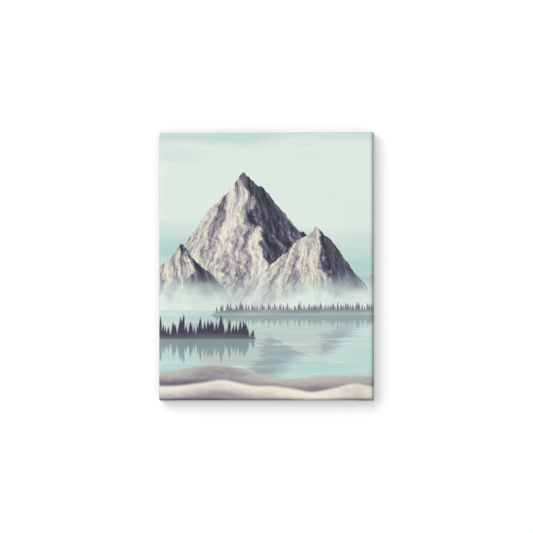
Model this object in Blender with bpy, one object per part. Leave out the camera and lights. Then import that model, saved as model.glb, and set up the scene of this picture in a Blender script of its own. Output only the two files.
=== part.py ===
"""A stretched canvas print: a printed cloth wrapped round a mitred pine frame, to hang on a wall.

Metres, +Z up. The print faces -Y, and the wall is the plane y = 0. The origin is the point on
the wall where its nail meets the middle notch of the hanger.
"""

import math

import bmesh
import bpy

# Driving dimensions: a 16 x 20 in frame of bars 1.5 in deep.
FRAME_WIDTH = 0.4064
FRAME_HEIGHT = 0.5080
BAR_DEPTH = 0.0381
BAR_WIDTH = 0.0381
CLOTH_THICKNESS = 0.0005
FLAP_WIDTH = 0.026  # cloth turned onto the back of the bars
ORIGIN_BELOW_TOP = 0.018  # from the frame's top edge down to the hanger's notch
TOUCH_GAP = 0.0003  # between pieces that touch

# Stretcher bars.
BEAD_RADIUS = 0.006  # rounded outer front edge that carries the cloth
FACE_FALL = 0.004  # how far the front face falls back from the bead, clear of the cloth
ARRIS = 0.0008  # broken edges
TONGUE_THICKNESS = 0.012
TONGUE_SHY = 0.0005  # the tongue stops this far inside the bars' faces

# Wall side: the pads are the pieces that touch the wall.
BUMPER_RADIUS = 0.006
BUMPER_HEIGHT = 0.003
BUMPER_SHOULDER = 0.0015
BUMPER_FROM_SIDE = 0.062
BUMPER_FROM_BOTTOM = 0.013

# Folded corners: two more layers of cloth on the top and bottom sides and on the flap.
FOLD_THICKNESS = 2 * CLOTH_THICKNESS
FOLD_OVERLAP = 0.0002

# Staples, of flat wire.
STAPLE_CROWN = 0.0106
STAPLE_LEG = 0.008
WIRE_THICKNESS = 0.0006
WIRE_WIDTH = 0.0012
WIRE_BEND = 0.0009  # outer radius where the crown turns into a leg
STAPLE_FROM_EDGE = 0.014
END_STAPLES_AT = (0.036, 0.081, 0.126)  # along the top and bottom bars, each way from the middle
SIDE_STAPLES_AT = (0.0, 0.047, 0.094, 0.141, 0.188)  # along the side bars, each way
CORNER_STAPLE_FROM_CORNER = (0.022, 0.012)  # along the end bar, and in from its edge

# Sawtooth hanger and its nails.
HANGER_LENGTH = 0.046
HANGER_HEIGHT = 0.0105
HANGER_SHEET = 0.0008
HANGER_LIFT = 0.0018  # the toothed middle stands off the cloth, for the wall's nail head
HANGER_TAB = 0.0085  # flat end that a nail goes through
HANGER_RAMP = 0.002
TEETH = 11
TOOTH_DEPTH = 0.0018
NAIL_SHANK_RADIUS = 0.0008
NAIL_TIP_RADIUS = 0.00015
NAIL_HEAD_RADIUS = 0.002
NAIL_CROWN_RADIUS = 0.0014  # flat top of the head, inside its bevel
NAIL_HEAD_HEIGHT = 0.0007
NAIL_LENGTH = 0.015
NAIL_POINT = 0.002

ARC_STEPS = 8
BEND_STEPS = 4  # a tight bend
ROUND_STEPS = 24
NAIL_STEPS = 16
SMOOTH_ANGLE = math.radians(30)
PAST = 0.002  # how far a cutter runs past what it cuts

# Places that follow from them. y runs from the print (most negative) to the wall (0).
BAR_BACK = -(BUMPER_HEIGHT + 2 * TOUCH_GAP + CLOTH_THICKNESS)
BAR_FRONT = BAR_BACK - BAR_DEPTH
CLOTH_BACK = BAR_BACK + TOUCH_GAP + CLOTH_THICKNESS
SEAT = CLOTH_BACK + TOUCH_GAP  # where staples, hanger and pads sit on the flap
HALF_WIDTH = FRAME_WIDTH / 2
TOP = ORIGIN_BELOW_TOP
BOTTOM = TOP - FRAME_HEIGHT
MIDDLE = (TOP + BOTTOM) / 2
MITRE_SHIFT = TOUCH_GAP / math.sqrt(2)  # each mitre stands back by this along its bar
TONGUE_MIDDLE = (BAR_FRONT + BAR_BACK) / 2


def clear_scene():
    for obj in list(bpy.data.objects):
        bpy.data.objects.remove(obj, do_unlink=True)


def material(name, colour, roughness, metallic=0.0):
    made = bpy.data.materials.new(name)
    made.use_nodes = True
    made.diffuse_color = (*colour, 1.0)
    shader = made.node_tree.nodes["Principled BSDF"]
    shader.inputs["Base Color"].default_value = (*colour, 1.0)
    shader.inputs["Roughness"].default_value = roughness
    shader.inputs["Metallic"].default_value = metallic
    return made


def arc(centre, radius, start, end, steps=ARC_STEPS):
    """Points on an arc, from the angle start to the angle end, in degrees."""
    angles = [math.radians(start + (end - start) * i / steps) for i in range(steps + 1)]
    return [
        (centre[0] + radius * math.cos(a), centre[1] + radius * math.sin(a)) for a in angles
    ]


def lofted(name, loops, finish=None):
    """A closed solid through loops with equal numbers of points, with a face at each end."""
    mesh = bmesh.new()
    rings = [[mesh.verts.new(point) for point in loop] for loop in loops]
    for ring, following in zip(rings, rings[1:]):
        for i in range(len(ring)):
            j = (i + 1) % len(ring)
            mesh.faces.new((ring[i], ring[j], following[j], following[i]))
    mesh.faces.new(rings[0])
    mesh.faces.new(rings[-1])
    bmesh.ops.recalc_face_normals(mesh, faces=mesh.faces)
    data = bpy.data.meshes.new(name)
    mesh.to_mesh(data)
    mesh.free()
    data.shade_smooth()
    data.set_sharp_from_angle(angle=SMOOTH_ANGLE)
    obj = bpy.data.objects.new(name, data)
    bpy.context.scene.collection.objects.link(obj)
    if finish:
        data.materials.append(finish)
    return obj


def box(name, low, high, finish=None):
    (x0, y0, z0), (x1, y1, z1) = low, high
    ends = [[(x, y0, z0), (x, y1, z0), (x, y1, z1), (x, y0, z1)] for x in (x0, x1)]
    return lofted(name, ends, finish)


def turned(name, profile, steps=ROUND_STEPS, finish=None):
    """A solid of revolution about its own Y axis, through (radius, y) points."""
    loops = []
    for radius, y in profile:
        turns = [2 * math.pi * i / steps for i in range(steps)]
        loops.append([(radius * math.cos(t), y, radius * math.sin(t)) for t in turns])
    return lofted(name, loops, finish)


def as_helper(obj):
    obj.hide_render = True
    obj.display_type = "WIRE"
    return obj


def joined(name, objects):
    """One helper mesh that holds the bodies of several objects, which it replaces."""
    mesh = bmesh.new()
    for obj in objects:
        data = obj.data.copy()
        data.transform(obj.matrix_basis)
        mesh.from_mesh(data)
        bpy.data.meshes.remove(data)
        bpy.data.objects.remove(obj, do_unlink=True)
    data = bpy.data.meshes.new(name)
    mesh.to_mesh(data)
    mesh.free()
    obj = bpy.data.objects.new(name, data)
    bpy.context.scene.collection.objects.link(obj)
    return as_helper(obj)


def boolean(obj, helper, operation):
    modifier = obj.modifiers.new(f"{operation} {helper.name}", "BOOLEAN")
    modifier.operation = operation
    modifier.object = helper
    modifier.solver = "EXACT"


def settle_shading(obj):
    """Keeps the wide faces flat where small holes meet them."""
    modifier = obj.modifiers.new("Weighted Normal", "WEIGHTED_NORMAL")
    modifier.keep_sharp = True


def bar_profile():
    """Cross-section of a bar as (inset from the frame's outer face, y) points."""
    bead = [
        (BEAD_RADIUS + x, BAR_FRONT + BEAD_RADIUS + y)
        for x, y in arc((0.0, 0.0), BEAD_RADIUS, 180, 270)
    ]
    inner_front = BAR_FRONT + FACE_FALL
    return bead + [
        (BAR_WIDTH - ARRIS, inner_front),
        (BAR_WIDTH, inner_front + ARRIS),
        (BAR_WIDTH, BAR_BACK - ARRIS),
        (BAR_WIDTH - ARRIS, BAR_BACK),
        (ARRIS, BAR_BACK),
        (0.0, BAR_BACK - ARRIS),
    ]


def end_bar(name, side, finish):
    """The top bar (side 1) or the bottom bar (side -1): mitred ends with a tongue."""
    edge = TOP if side > 0 else BOTTOM
    ends = [
        [(way * (HALF_WIDTH - s - MITRE_SHIFT), y, edge - side * s) for s, y in bar_profile()]
        for way in (-1, 1)
    ]
    bar = lofted(name, ends, finish)
    reach = HALF_WIDTH - TONGUE_SHY
    heights = sorted((edge - side * TONGUE_SHY, edge - side * (BAR_WIDTH - TONGUE_SHY)))
    half = TONGUE_THICKNESS / 2
    tongue = box(
        f"{name}_tongue",
        (-reach, TONGUE_MIDDLE - half, heights[0]),
        (reach, TONGUE_MIDDLE + half, heights[1]),
    )
    boolean(bar, as_helper(tongue), "UNION")
    return bar


def side_bar(name, side, finish):
    """The right bar (side 1) or the left bar (side -1): mitred ends with a slot."""
    profile = bar_profile()
    ends = [
        [(side * (HALF_WIDTH - s), y, edge - way * (s + MITRE_SHIFT)) for s, y in profile]
        for edge, way in ((BOTTOM, -1), (TOP, 1))
    ]
    bar = lofted(name, ends, finish)
    half = TONGUE_THICKNESS / 2 + TOUCH_GAP
    depth = BAR_WIDTH - TONGUE_SHY + TOUCH_GAP
    across = sorted((side * (HALF_WIDTH - BAR_WIDTH - PAST), side * (HALF_WIDTH + PAST)))
    slots = [
        box(
            f"{name}_slot",
            (across[0], TONGUE_MIDDLE - half, low),
            (across[1], TONGUE_MIDDLE + half, high),
        )
        for low, high in ((TOP - depth, TOP + PAST), (BOTTOM - PAST, BOTTOM + depth))
    ]
    boolean(bar, joined(f"{name}_slots", slots), "DIFFERENCE")
    return bar


def cloth_profile():
    """Cross-section of the wrapped cloth as (distance out from the frame's face, y) points.

    It runs down the outer surface, from the print to the flap's edge, and back up the inner.
    """
    outer, inner = TOUCH_GAP + CLOTH_THICKNESS, TOUCH_GAP
    back = BAR_BACK - ARRIS
    points = []
    for offset, way in ((outer, 1), (inner, -1)):
        front_turn = [
            (x - BEAD_RADIUS, y + BAR_FRONT + BEAD_RADIUS)
            for x, y in arc((0.0, 0.0), BEAD_RADIUS + offset, 270, 360)
        ]
        back_turn = arc((-ARRIS, back), ARRIS + offset, 0, 90, BEND_STEPS)
        run = front_turn + back_turn + [(-FLAP_WIDTH, BAR_BACK + offset)]
        points += run[::way]
    return points


def ring(out, y):
    """The four corners of a rectangle this far outside the frame's faces."""
    x = HALF_WIDTH + out
    return [(-x, y, BOTTOM - out), (x, y, BOTTOM - out), (x, y, TOP + out), (-x, y, TOP + out)]


def corner_fold(name, side, end):
    """The folded ear at one corner: a triangle on the end side, turned onto the flap."""
    out = TOUCH_GAP + CLOTH_THICKNESS
    edge = TOP if end > 0 else BOTTOM
    corner_x = side * (HALF_WIDTH + out - FOLD_OVERLAP)
    inner_x = side * (HALF_WIDTH - BAR_DEPTH + BEAD_RADIUS)
    mitre_x = side * (HALF_WIDTH - FLAP_WIDTH)
    seat = edge + end * (out - FOLD_OVERLAP)
    proud = edge + end * (out + FOLD_THICKNESS)
    flap_edge = edge - end * (FLAP_WIDTH - FOLD_OVERLAP)
    back_seat, back_proud = CLOTH_BACK - FOLD_OVERLAP, CLOTH_BACK + FOLD_THICKNESS
    triangle = [(corner_x, BAR_FRONT + BEAD_RADIUS), (corner_x, back_proud), (inner_x, back_proud)]
    on_side = lofted(f"{name}_side", [[(x, y, z) for x, y in triangle] for z in (seat, proud)])
    quad = [(corner_x, proud), (inner_x, proud), (inner_x, flap_edge), (mitre_x, flap_edge)]
    on_back = lofted(
        f"{name}_back", [[(x, y, z) for x, z in quad] for y in (back_seat, back_proud)]
    )
    return [on_side, on_back]


def wrapped_canvas(finish):
    canvas = lofted("canvas", [ring(out, y) for out, y in cloth_profile()], finish)
    sides_and_backs = [[], []]
    for side in (-1, 1):
        for end in (-1, 1):
            for pieces, piece in zip(sides_and_backs, corner_fold("fold", side, end)):
                pieces.append(piece)
    for label, pieces in zip(("side_folds", "back_folds"), sides_and_backs):
        boolean(canvas, joined(label, pieces), "UNION")
    return canvas


def staple_places():
    """(name, x, z, turn about Y in degrees, height of the cloth under it) of each staple."""
    places = []
    for end, label in ((1, "top"), (-1, "bottom")):
        z = (TOP if end > 0 else BOTTOM) - end * STAPLE_FROM_EDGE
        for i, x in enumerate(sorted({w * a for a in END_STAPLES_AT for w in (-1, 1)}), 1):
            places.append((f"staple_{label}_{i}", x, z, 0.0, SEAT))
    for side, label in ((1, "right"), (-1, "left")):
        x = side * (HALF_WIDTH - STAPLE_FROM_EDGE)
        for i, at in enumerate(sorted({w * a for a in SIDE_STAPLES_AT for w in (-1, 1)}), 1):
            places.append((f"staple_{label}_{i}", x, MIDDLE + at, 90.0, SEAT))
    along, inwards = CORNER_STAPLE_FROM_CORNER
    for side, across in ((1, "right"), (-1, "left")):
        for end, up in ((1, "top"), (-1, "bottom")):
            x, z = side * (HALF_WIDTH - along), (TOP if end > 0 else BOTTOM) - end * inwards
            places.append((f"staple_corner_{up}_{across}", x, z, 0.0, SEAT + FOLD_THICKNESS))
    return places


def staple_outline(seat, leg):
    """A staple's U in its own plane, as (along the crown, y) points, crown towards the wall."""
    half, proud = STAPLE_CROWN / 2, seat + WIRE_THICKNESS
    bend = (half - WIRE_BEND, proud - WIRE_BEND)
    inner_bend = WIRE_BEND - WIRE_THICKNESS
    tip = proud - leg
    right = arc(bend, WIRE_BEND, 90, 0, BEND_STEPS) + [(half, tip + WIRE_THICKNESS)]
    right += [(half - WIRE_THICKNESS, tip)] + arc(bend, inner_bend, 0, 90, BEND_STEPS // 2)
    return right + [(-x, y) for x, y in reversed(right)]


def placed(obj, x, z, turn):
    obj.location = (x, 0.0, z)
    obj.rotation_euler = (0.0, math.radians(turn), 0.0)
    return obj


def staple(name, x, z, turn, seat, finish):
    outline = staple_outline(seat, STAPLE_LEG)
    half = WIRE_WIDTH / 2
    loops = [[(a, y, w) for a, y in outline] for w in (-half, half)]
    return placed(lofted(name, loops, finish), x, z, turn)


def leg_cutters(x, z, turn, seat):
    """The two holes that a staple's legs stand in."""
    outer = STAPLE_CROWN / 2 + TOUCH_GAP
    inner = STAPLE_CROWN / 2 - WIRE_THICKNESS - TOUCH_GAP
    half = WIRE_WIDTH / 2 + TOUCH_GAP
    deep = seat + WIRE_THICKNESS - STAPLE_LEG - TOUCH_GAP
    cutters = []
    for low, high in ((-outer, -inner), (inner, outer)):
        cutters.append(placed(box("leg", (low, deep, -half), (high, PAST, half)), x, z, turn))
    return cutters


def hanger_sections():
    """(x, lift off the seat, height of the lower edge) along the hanger, left to right."""
    half = HANGER_LENGTH / 2
    rise, crest = half - HANGER_TAB, half - HANGER_TAB - HANGER_RAMP
    pitch = 2 * crest / TEETH
    teeth = []
    for i in range(TEETH):
        start = -crest + i * pitch
        teeth += [(start, HANGER_LIFT, -TOOTH_DEPTH), (start + pitch / 2, HANGER_LIFT, 0.0)]
    return (
        [(-half, 0.0, -TOOTH_DEPTH), (-rise, 0.0, -TOOTH_DEPTH)]
        + teeth
        + [(crest, HANGER_LIFT, -TOOTH_DEPTH), (rise, 0.0, -TOOTH_DEPTH)]
        + [(half, 0.0, -TOOTH_DEPTH)]
    )


def nail_places():
    x = HANGER_LENGTH / 2 - HANGER_TAB / 2
    z = (HANGER_HEIGHT - TOOTH_DEPTH) / 2
    return [("nail_left", -x, z), ("nail_right", x, z)]


def round_cutter(x, z, radius, low, high):
    return placed(turned("bore", [(radius, low), (radius, high)]), x, z, 0.0)


def sawtooth_hanger(finish):
    top = HANGER_HEIGHT - TOOTH_DEPTH
    loops = []
    for x, lift, low in hanger_sections():
        near, far = SEAT + lift, SEAT + lift + HANGER_SHEET
        loops.append([(x, near, low), (x, far, low), (x, far, top), (x, near, top)])
    hanger = lofted("hanger", loops, finish)
    radius = NAIL_SHANK_RADIUS + TOUCH_GAP
    bores = [round_cutter(x, z, radius, SEAT - PAST, SEAT + PAST) for _, x, z in nail_places()]
    boolean(hanger, joined("hanger_bores", bores), "DIFFERENCE")
    return hanger


def nail(name, x, z, finish):
    head = SEAT + HANGER_SHEET + TOUCH_GAP
    tip = head - NAIL_LENGTH
    profile = [
        (NAIL_TIP_RADIUS, tip),
        (NAIL_SHANK_RADIUS, tip + NAIL_POINT),
        (NAIL_SHANK_RADIUS, head),
        (NAIL_HEAD_RADIUS, head),
        (NAIL_HEAD_RADIUS, head + NAIL_HEAD_HEIGHT / 2),
        (NAIL_CROWN_RADIUS, head + NAIL_HEAD_HEIGHT),
    ]
    return placed(turned(name, profile, NAIL_STEPS, finish), x, z, 0.0)


def bumper(name, side, finish):
    flat = BUMPER_RADIUS - BUMPER_SHOULDER
    shoulder = arc((flat, -BUMPER_SHOULDER), BUMPER_SHOULDER, 0, 90)
    x, z = side * (HALF_WIDTH - BUMPER_FROM_SIDE), BOTTOM + BUMPER_FROM_BOTTOM
    return placed(turned(name, [(BUMPER_RADIUS, SEAT)] + shoulder, ROUND_STEPS, finish), x, z, 0.0)


def main():
    clear_scene()
    print_finish = material("printed_canvas", (0.62, 0.76, 0.74), 0.8)
    pine = material("pine", (0.74, 0.56, 0.36), 0.65)
    wire = material("staple_steel", (0.68, 0.68, 0.70), 0.3, 1.0)
    zinc = material("hanger_steel", (0.72, 0.70, 0.62), 0.35, 1.0)
    rubber = material("bumper_rubber", (0.12, 0.12, 0.13), 0.7)

    canvas = wrapped_canvas(print_finish)
    bars = {
        "top": end_bar("bar_top", 1, pine),
        "bottom": end_bar("bar_bottom", -1, pine),
        "left": side_bar("bar_left", -1, pine),
        "right": side_bar("bar_right", 1, pine),
    }

    legs = []
    for name, x, z, turn, seat in staple_places():
        staple(name, x, z, turn, seat, wire)
        legs += leg_cutters(x, z, turn, seat)
    bore = NAIL_SHANK_RADIUS + TOUCH_GAP
    deep = SEAT + HANGER_SHEET - NAIL_LENGTH
    nails = [round_cutter(x, z, bore, deep, PAST) for _, x, z in nail_places()]
    holes = joined("fastener_holes", legs + nails)
    for obj in (canvas, *bars.values()):
        boolean(obj, holes, "DIFFERENCE")

    hanger = sawtooth_hanger(zinc)
    for obj in (canvas, hanger, *bars.values()):
        settle_shading(obj)
    for name, x, z in nail_places():
        nail(name, x, z, zinc)
    bumper("bumper_left", -1, rubber)
    bumper("bumper_right", 1, rubber)


main()
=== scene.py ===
"""A stretched canvas print, dressed for its picture: cloth, ink, pine, wire, zinc and rubber.

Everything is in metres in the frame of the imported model: +Z up, the print faces -Y, and the wall
is the plane y = 0. Every piece rides on the one body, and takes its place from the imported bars.
"""

from __future__ import annotations

import itertools
import logging
import math
from dataclasses import dataclass, field
from enum import Enum, IntEnum
from typing import Iterable, Sequence, TypeVar

import bmesh
import bpy
from bmesh.types import BMesh, BMFace
from bpy.types import Material, Node, NodeSocket, Object
from mathutils import Euler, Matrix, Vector

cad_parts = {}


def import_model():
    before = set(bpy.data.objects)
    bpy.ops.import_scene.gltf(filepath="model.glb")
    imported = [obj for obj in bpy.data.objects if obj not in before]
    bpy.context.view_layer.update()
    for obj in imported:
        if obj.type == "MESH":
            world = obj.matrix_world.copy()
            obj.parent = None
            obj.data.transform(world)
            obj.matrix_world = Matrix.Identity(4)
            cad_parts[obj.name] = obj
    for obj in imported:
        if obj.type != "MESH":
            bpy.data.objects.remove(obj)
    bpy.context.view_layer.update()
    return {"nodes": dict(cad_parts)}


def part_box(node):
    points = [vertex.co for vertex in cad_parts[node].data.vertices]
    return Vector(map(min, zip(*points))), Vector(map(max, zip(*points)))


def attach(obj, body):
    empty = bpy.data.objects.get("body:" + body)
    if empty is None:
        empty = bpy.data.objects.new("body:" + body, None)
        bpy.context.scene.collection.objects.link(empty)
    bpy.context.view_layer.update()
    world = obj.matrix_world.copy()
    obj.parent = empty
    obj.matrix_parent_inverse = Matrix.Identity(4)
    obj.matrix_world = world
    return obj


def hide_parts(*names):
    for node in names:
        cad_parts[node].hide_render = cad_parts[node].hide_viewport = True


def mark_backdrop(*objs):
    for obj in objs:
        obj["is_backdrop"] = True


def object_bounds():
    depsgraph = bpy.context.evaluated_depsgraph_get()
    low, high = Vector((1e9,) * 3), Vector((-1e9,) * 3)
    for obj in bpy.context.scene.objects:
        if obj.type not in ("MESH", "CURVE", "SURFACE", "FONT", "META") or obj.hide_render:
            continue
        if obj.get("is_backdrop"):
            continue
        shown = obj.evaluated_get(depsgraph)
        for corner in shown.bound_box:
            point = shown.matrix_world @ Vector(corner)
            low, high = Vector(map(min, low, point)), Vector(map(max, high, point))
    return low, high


log = logging.getLogger("canvas_print")

BODY = "root"
CLOTH_MAP = "Cloth"  # UV map in metres of flat cloth, from the middle of the picture
BAKE_MAP = "OFBake"  # UV map in which no two faces overlap
PRESS = 0.0001  # how far a piece presses into the one that it lies on

Colour = tuple[float, float, float]
Stops = Sequence[tuple[float, Colour]]


def ink(red: int, green: int, blue: int) -> Colour:
    """Turns a printer's 8-bit colour into the linear colour that a shader reads.

    Args:
        red: Level from 0 to 255.
        green: Level from 0 to 255.
        blue: Level from 0 to 255.

    Returns:
        The three linear channels.
    """

    def linear(level: int) -> float:
        """Undoes the display's curve for one channel."""
        share = level / 255
        return share / 12.92 if share <= 0.04045 else ((share + 0.055) / 1.055) ** 2.4

    return linear(red), linear(green), linear(blue)


# --- Tools for node trees ---


class Wire:
    """One value on its way through a material's nodes; it adds and multiplies as a number does."""

    def __init__(self, bench: Bench, socket: NodeSocket) -> None:
        """Keeps the socket that the value comes out of."""
        self.bench = bench
        self.socket = socket

    def __add__(self, other: Value) -> Wire:
        """Adds a number or a wire."""
        return self.bench.math("ADD", self, other)

    __radd__ = __add__

    def __sub__(self, other: Value) -> Wire:
        """Takes away a number or a wire."""
        return self.bench.math("SUBTRACT", self, other)

    def __rsub__(self, other: Value) -> Wire:
        """Takes this wire from a number."""
        return self.bench.math("SUBTRACT", other, self)

    def __mul__(self, other: Value) -> Wire:
        """Multiplies by a number or a wire."""
        return self.bench.math("MULTIPLY", self, other)

    __rmul__ = __mul__

    def __truediv__(self, other: Value) -> Wire:
        """Divides by a number or a wire."""
        return self.bench.math("DIVIDE", self, other)

    def __neg__(self) -> Wire:
        """Turns the sign round."""
        return self * -1.0

    def __abs__(self) -> Wire:
        """Drops the sign."""
        return self.bench.math("ABSOLUTE", self)


Value = float | Wire


class Tree:
    """A tree of nodes."""

    tree: bpy.types.NodeTree

    def node(
        self, kind: str, feeds: dict[str | int, object] | None = None, **settings: object
    ) -> Node:
        """Adds a node.

        Args:
            kind: Its type's name in Blender.
            feeds: For each input, by name or number, a wire or socket to link or a value to set.
            **settings: Properties to set on it.

        Returns:
            The node.
        """
        made = self.tree.nodes.new(kind)
        for name, value in settings.items():
            setattr(made, name, value)
        for key, value in (feeds or {}).items():
            self.feed(made.inputs[key], value)
        return made

    def feed(self, socket: NodeSocket, value: object) -> None:
        """Links a wire or a socket to an input, or sets the input to a value.

        Args:
            socket: The input.
            value: What it gets.
        """
        source = value.socket if isinstance(value, Wire) else value
        if isinstance(source, NodeSocket):
            self.tree.links.new(source, socket)
        elif socket.type == "RGBA":
            socket.default_value = (*value, 1.0)
        else:
            socket.default_value = value


class Bench(Tree):
    """The node tree of a material or a world, with the few tools that the finishes need."""

    def __init__(self, owner: Material | bpy.types.World) -> None:
        """Clears the tree.

        Args:
            owner: The material or the world that the tree belongs to.
        """
        self.owner = owner
        self.owner.use_nodes = True
        self.tree = self.owner.node_tree
        self.tree.nodes.clear()

    def math(self, operation: str, *values: Value) -> Wire:
        """Works out one operation of the Math node."""
        made = self.node("ShaderNodeMath", dict(enumerate(values)), operation=operation)
        return Wire(self, made.outputs[0])

    def highest(self, first: Value, second: Value) -> Wire:
        """Takes the larger of two values."""
        return self.math("MAXIMUM", first, second)

    def rise(self, value: Value, low: float, high: float) -> Wire:
        """Makes a smooth step.

        Args:
            value: What is measured.
            low: Where the step starts, at 0.
            high: Where it ends, at 1.

        Returns:
            A value from 0 to 1.
        """
        feeds = {"Value": value, "From Min": low, "From Max": high}
        made = self.node("ShaderNodeMapRange", feeds, interpolation_type="SMOOTHSTEP")
        return Wire(self, made.outputs[0])

    def point(self, x: Value, y: Value, z: Value = 0.0) -> Wire:
        """Joins three values into a vector."""
        return Wire(self, self.node("ShaderNodeCombineXYZ", {0: x, 1: y, 2: z}).outputs[0])

    def noise(
        self, x: Value, y: Value, z: Value = 0.0, detail: float = 2.0, rough: float = 0.5
    ) -> Wire:
        """Makes cloudy noise from -0.5 to 0.5, about 1 unit across.

        Args:
            x: First coordinate, already scaled.
            y: Second coordinate.
            z: Third coordinate, or a seed.
            detail: How many finer layers are added.
            rough: How strong the finer layers are.

        Returns:
            The noise.
        """
        feeds = {"Scale": 1.0, "Detail": detail, "Roughness": rough}
        made = self.node("ShaderNodeTexNoise", feeds, noise_dimensions="3D", normalize=True)
        self.feed(made.inputs["Vector"], self.point(x, y, z))
        return Wire(self, made.outputs["Fac"]) - 0.5

    def mix(self, share: Value, low: Wire | Colour, high: Wire | Colour) -> Wire:
        """Mixes two colours.

        Args:
            share: 0 for low and 1 for high.
            low: The first colour.
            high: The second colour.

        Returns:
            The mixed colour.
        """
        feeds = {0: share, 6: low, 7: high}  # 6, 7 and output 2 are the node's colours
        made = self.node("ShaderNodeMix", feeds, data_type="RGBA", clamp_factor=True)
        return Wire(self, made.outputs[2])

    def ramp(self, value: Value, stops: Stops) -> Wire:
        """Turns a value into a colour.

        Args:
            value: Where to look along the ramp, from 0 to 1.
            stops: The ramp's places and colours, in order.

        Returns:
            The colour.
        """
        made = self.node("ShaderNodeValToRGB", {0: value})
        elements = made.color_ramp.elements
        while len(elements) < len(stops):
            elements.new(1.0)
        for element, (place, colour) in zip(elements, stops):
            element.position = place
            element.color = (*colour, 1.0)
        return Wire(self, made.outputs[0])

    def place(self, map_name: str | None = None) -> tuple[Wire, Wire, Wire]:
        """Reads where a point of the piece is.

        Args:
            map_name: A UV map, or nothing for the place in the piece's own object.

        Returns:
            The three coordinates, in metres.
        """
        if map_name:
            source = self.node("ShaderNodeUVMap", uv_map=map_name).outputs[0]
        else:
            source = self.node("ShaderNodeTexCoord").outputs["Object"]
        parts = self.node("ShaderNodeSeparateXYZ", {0: source})
        x, y, z = (Wire(self, socket) for socket in parts.outputs)
        return x, y, z

    def bump(self, height: Wire, depth: float) -> Wire:
        """Turns a relief of about 0 to 1 into a bent normal, for a depth in metres."""
        made = self.node("ShaderNodeBump", {"Distance": depth, "Height": height})
        return Wire(self, made.outputs[0])

    def surface(self, **inputs: Value | Colour) -> Material:
        """Puts the surface on the material.

        Args:
            **inputs: The Principled shader's inputs, with _ for a space.

        Returns:
            The finished material.
        """
        feeds = {name.replace("_", " "): value for name, value in inputs.items()}
        shader = self.node("ShaderNodeBsdfPrincipled", feeds)
        self.node("ShaderNodeOutputMaterial", {"Surface": shader.outputs[0]})
        return self.owner


# --- The picture ---


@dataclass(frozen=True)
class Peak:
    """One mountain of the picture, in shares of the picture's height."""

    centre: float
    height: float
    fall_left: float
    fall_right: float
    seed: float


@dataclass(frozen=True)
class Gully:
    """One size of gully down a mountain's flank."""

    across: float  # how closely they fan out from the summit
    along: float  # how closely they change on the way down
    step: float  # how far apart the two places are whose heights light the slope
    seed: float
    detail: float
    bend: float  # how much they wander


@dataclass(frozen=True)
class Face:
    """What is seen at a point of the massif."""

    skyline: Wire
    lit: Wire
    ray: Wire
    depth: Wire


@dataclass(frozen=True)
class FirWood:
    """A low spit of land with firs on it, in shares of the picture's height.

    The land is on the left and ends at its tip, or on the right where way is -1.
    """

    shore: float
    tip: float
    way: float
    height: float
    trees: float
    seed: float
    mist: float
    deep: Colour
    light: Colour


@dataclass(frozen=True)
class Bank:
    """One soft bank of the foreground, in shares of the picture's height."""

    crest: float
    swell: float
    pace: float
    seed: float
    blur: float
    top: Colour
    foot: Colour


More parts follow.
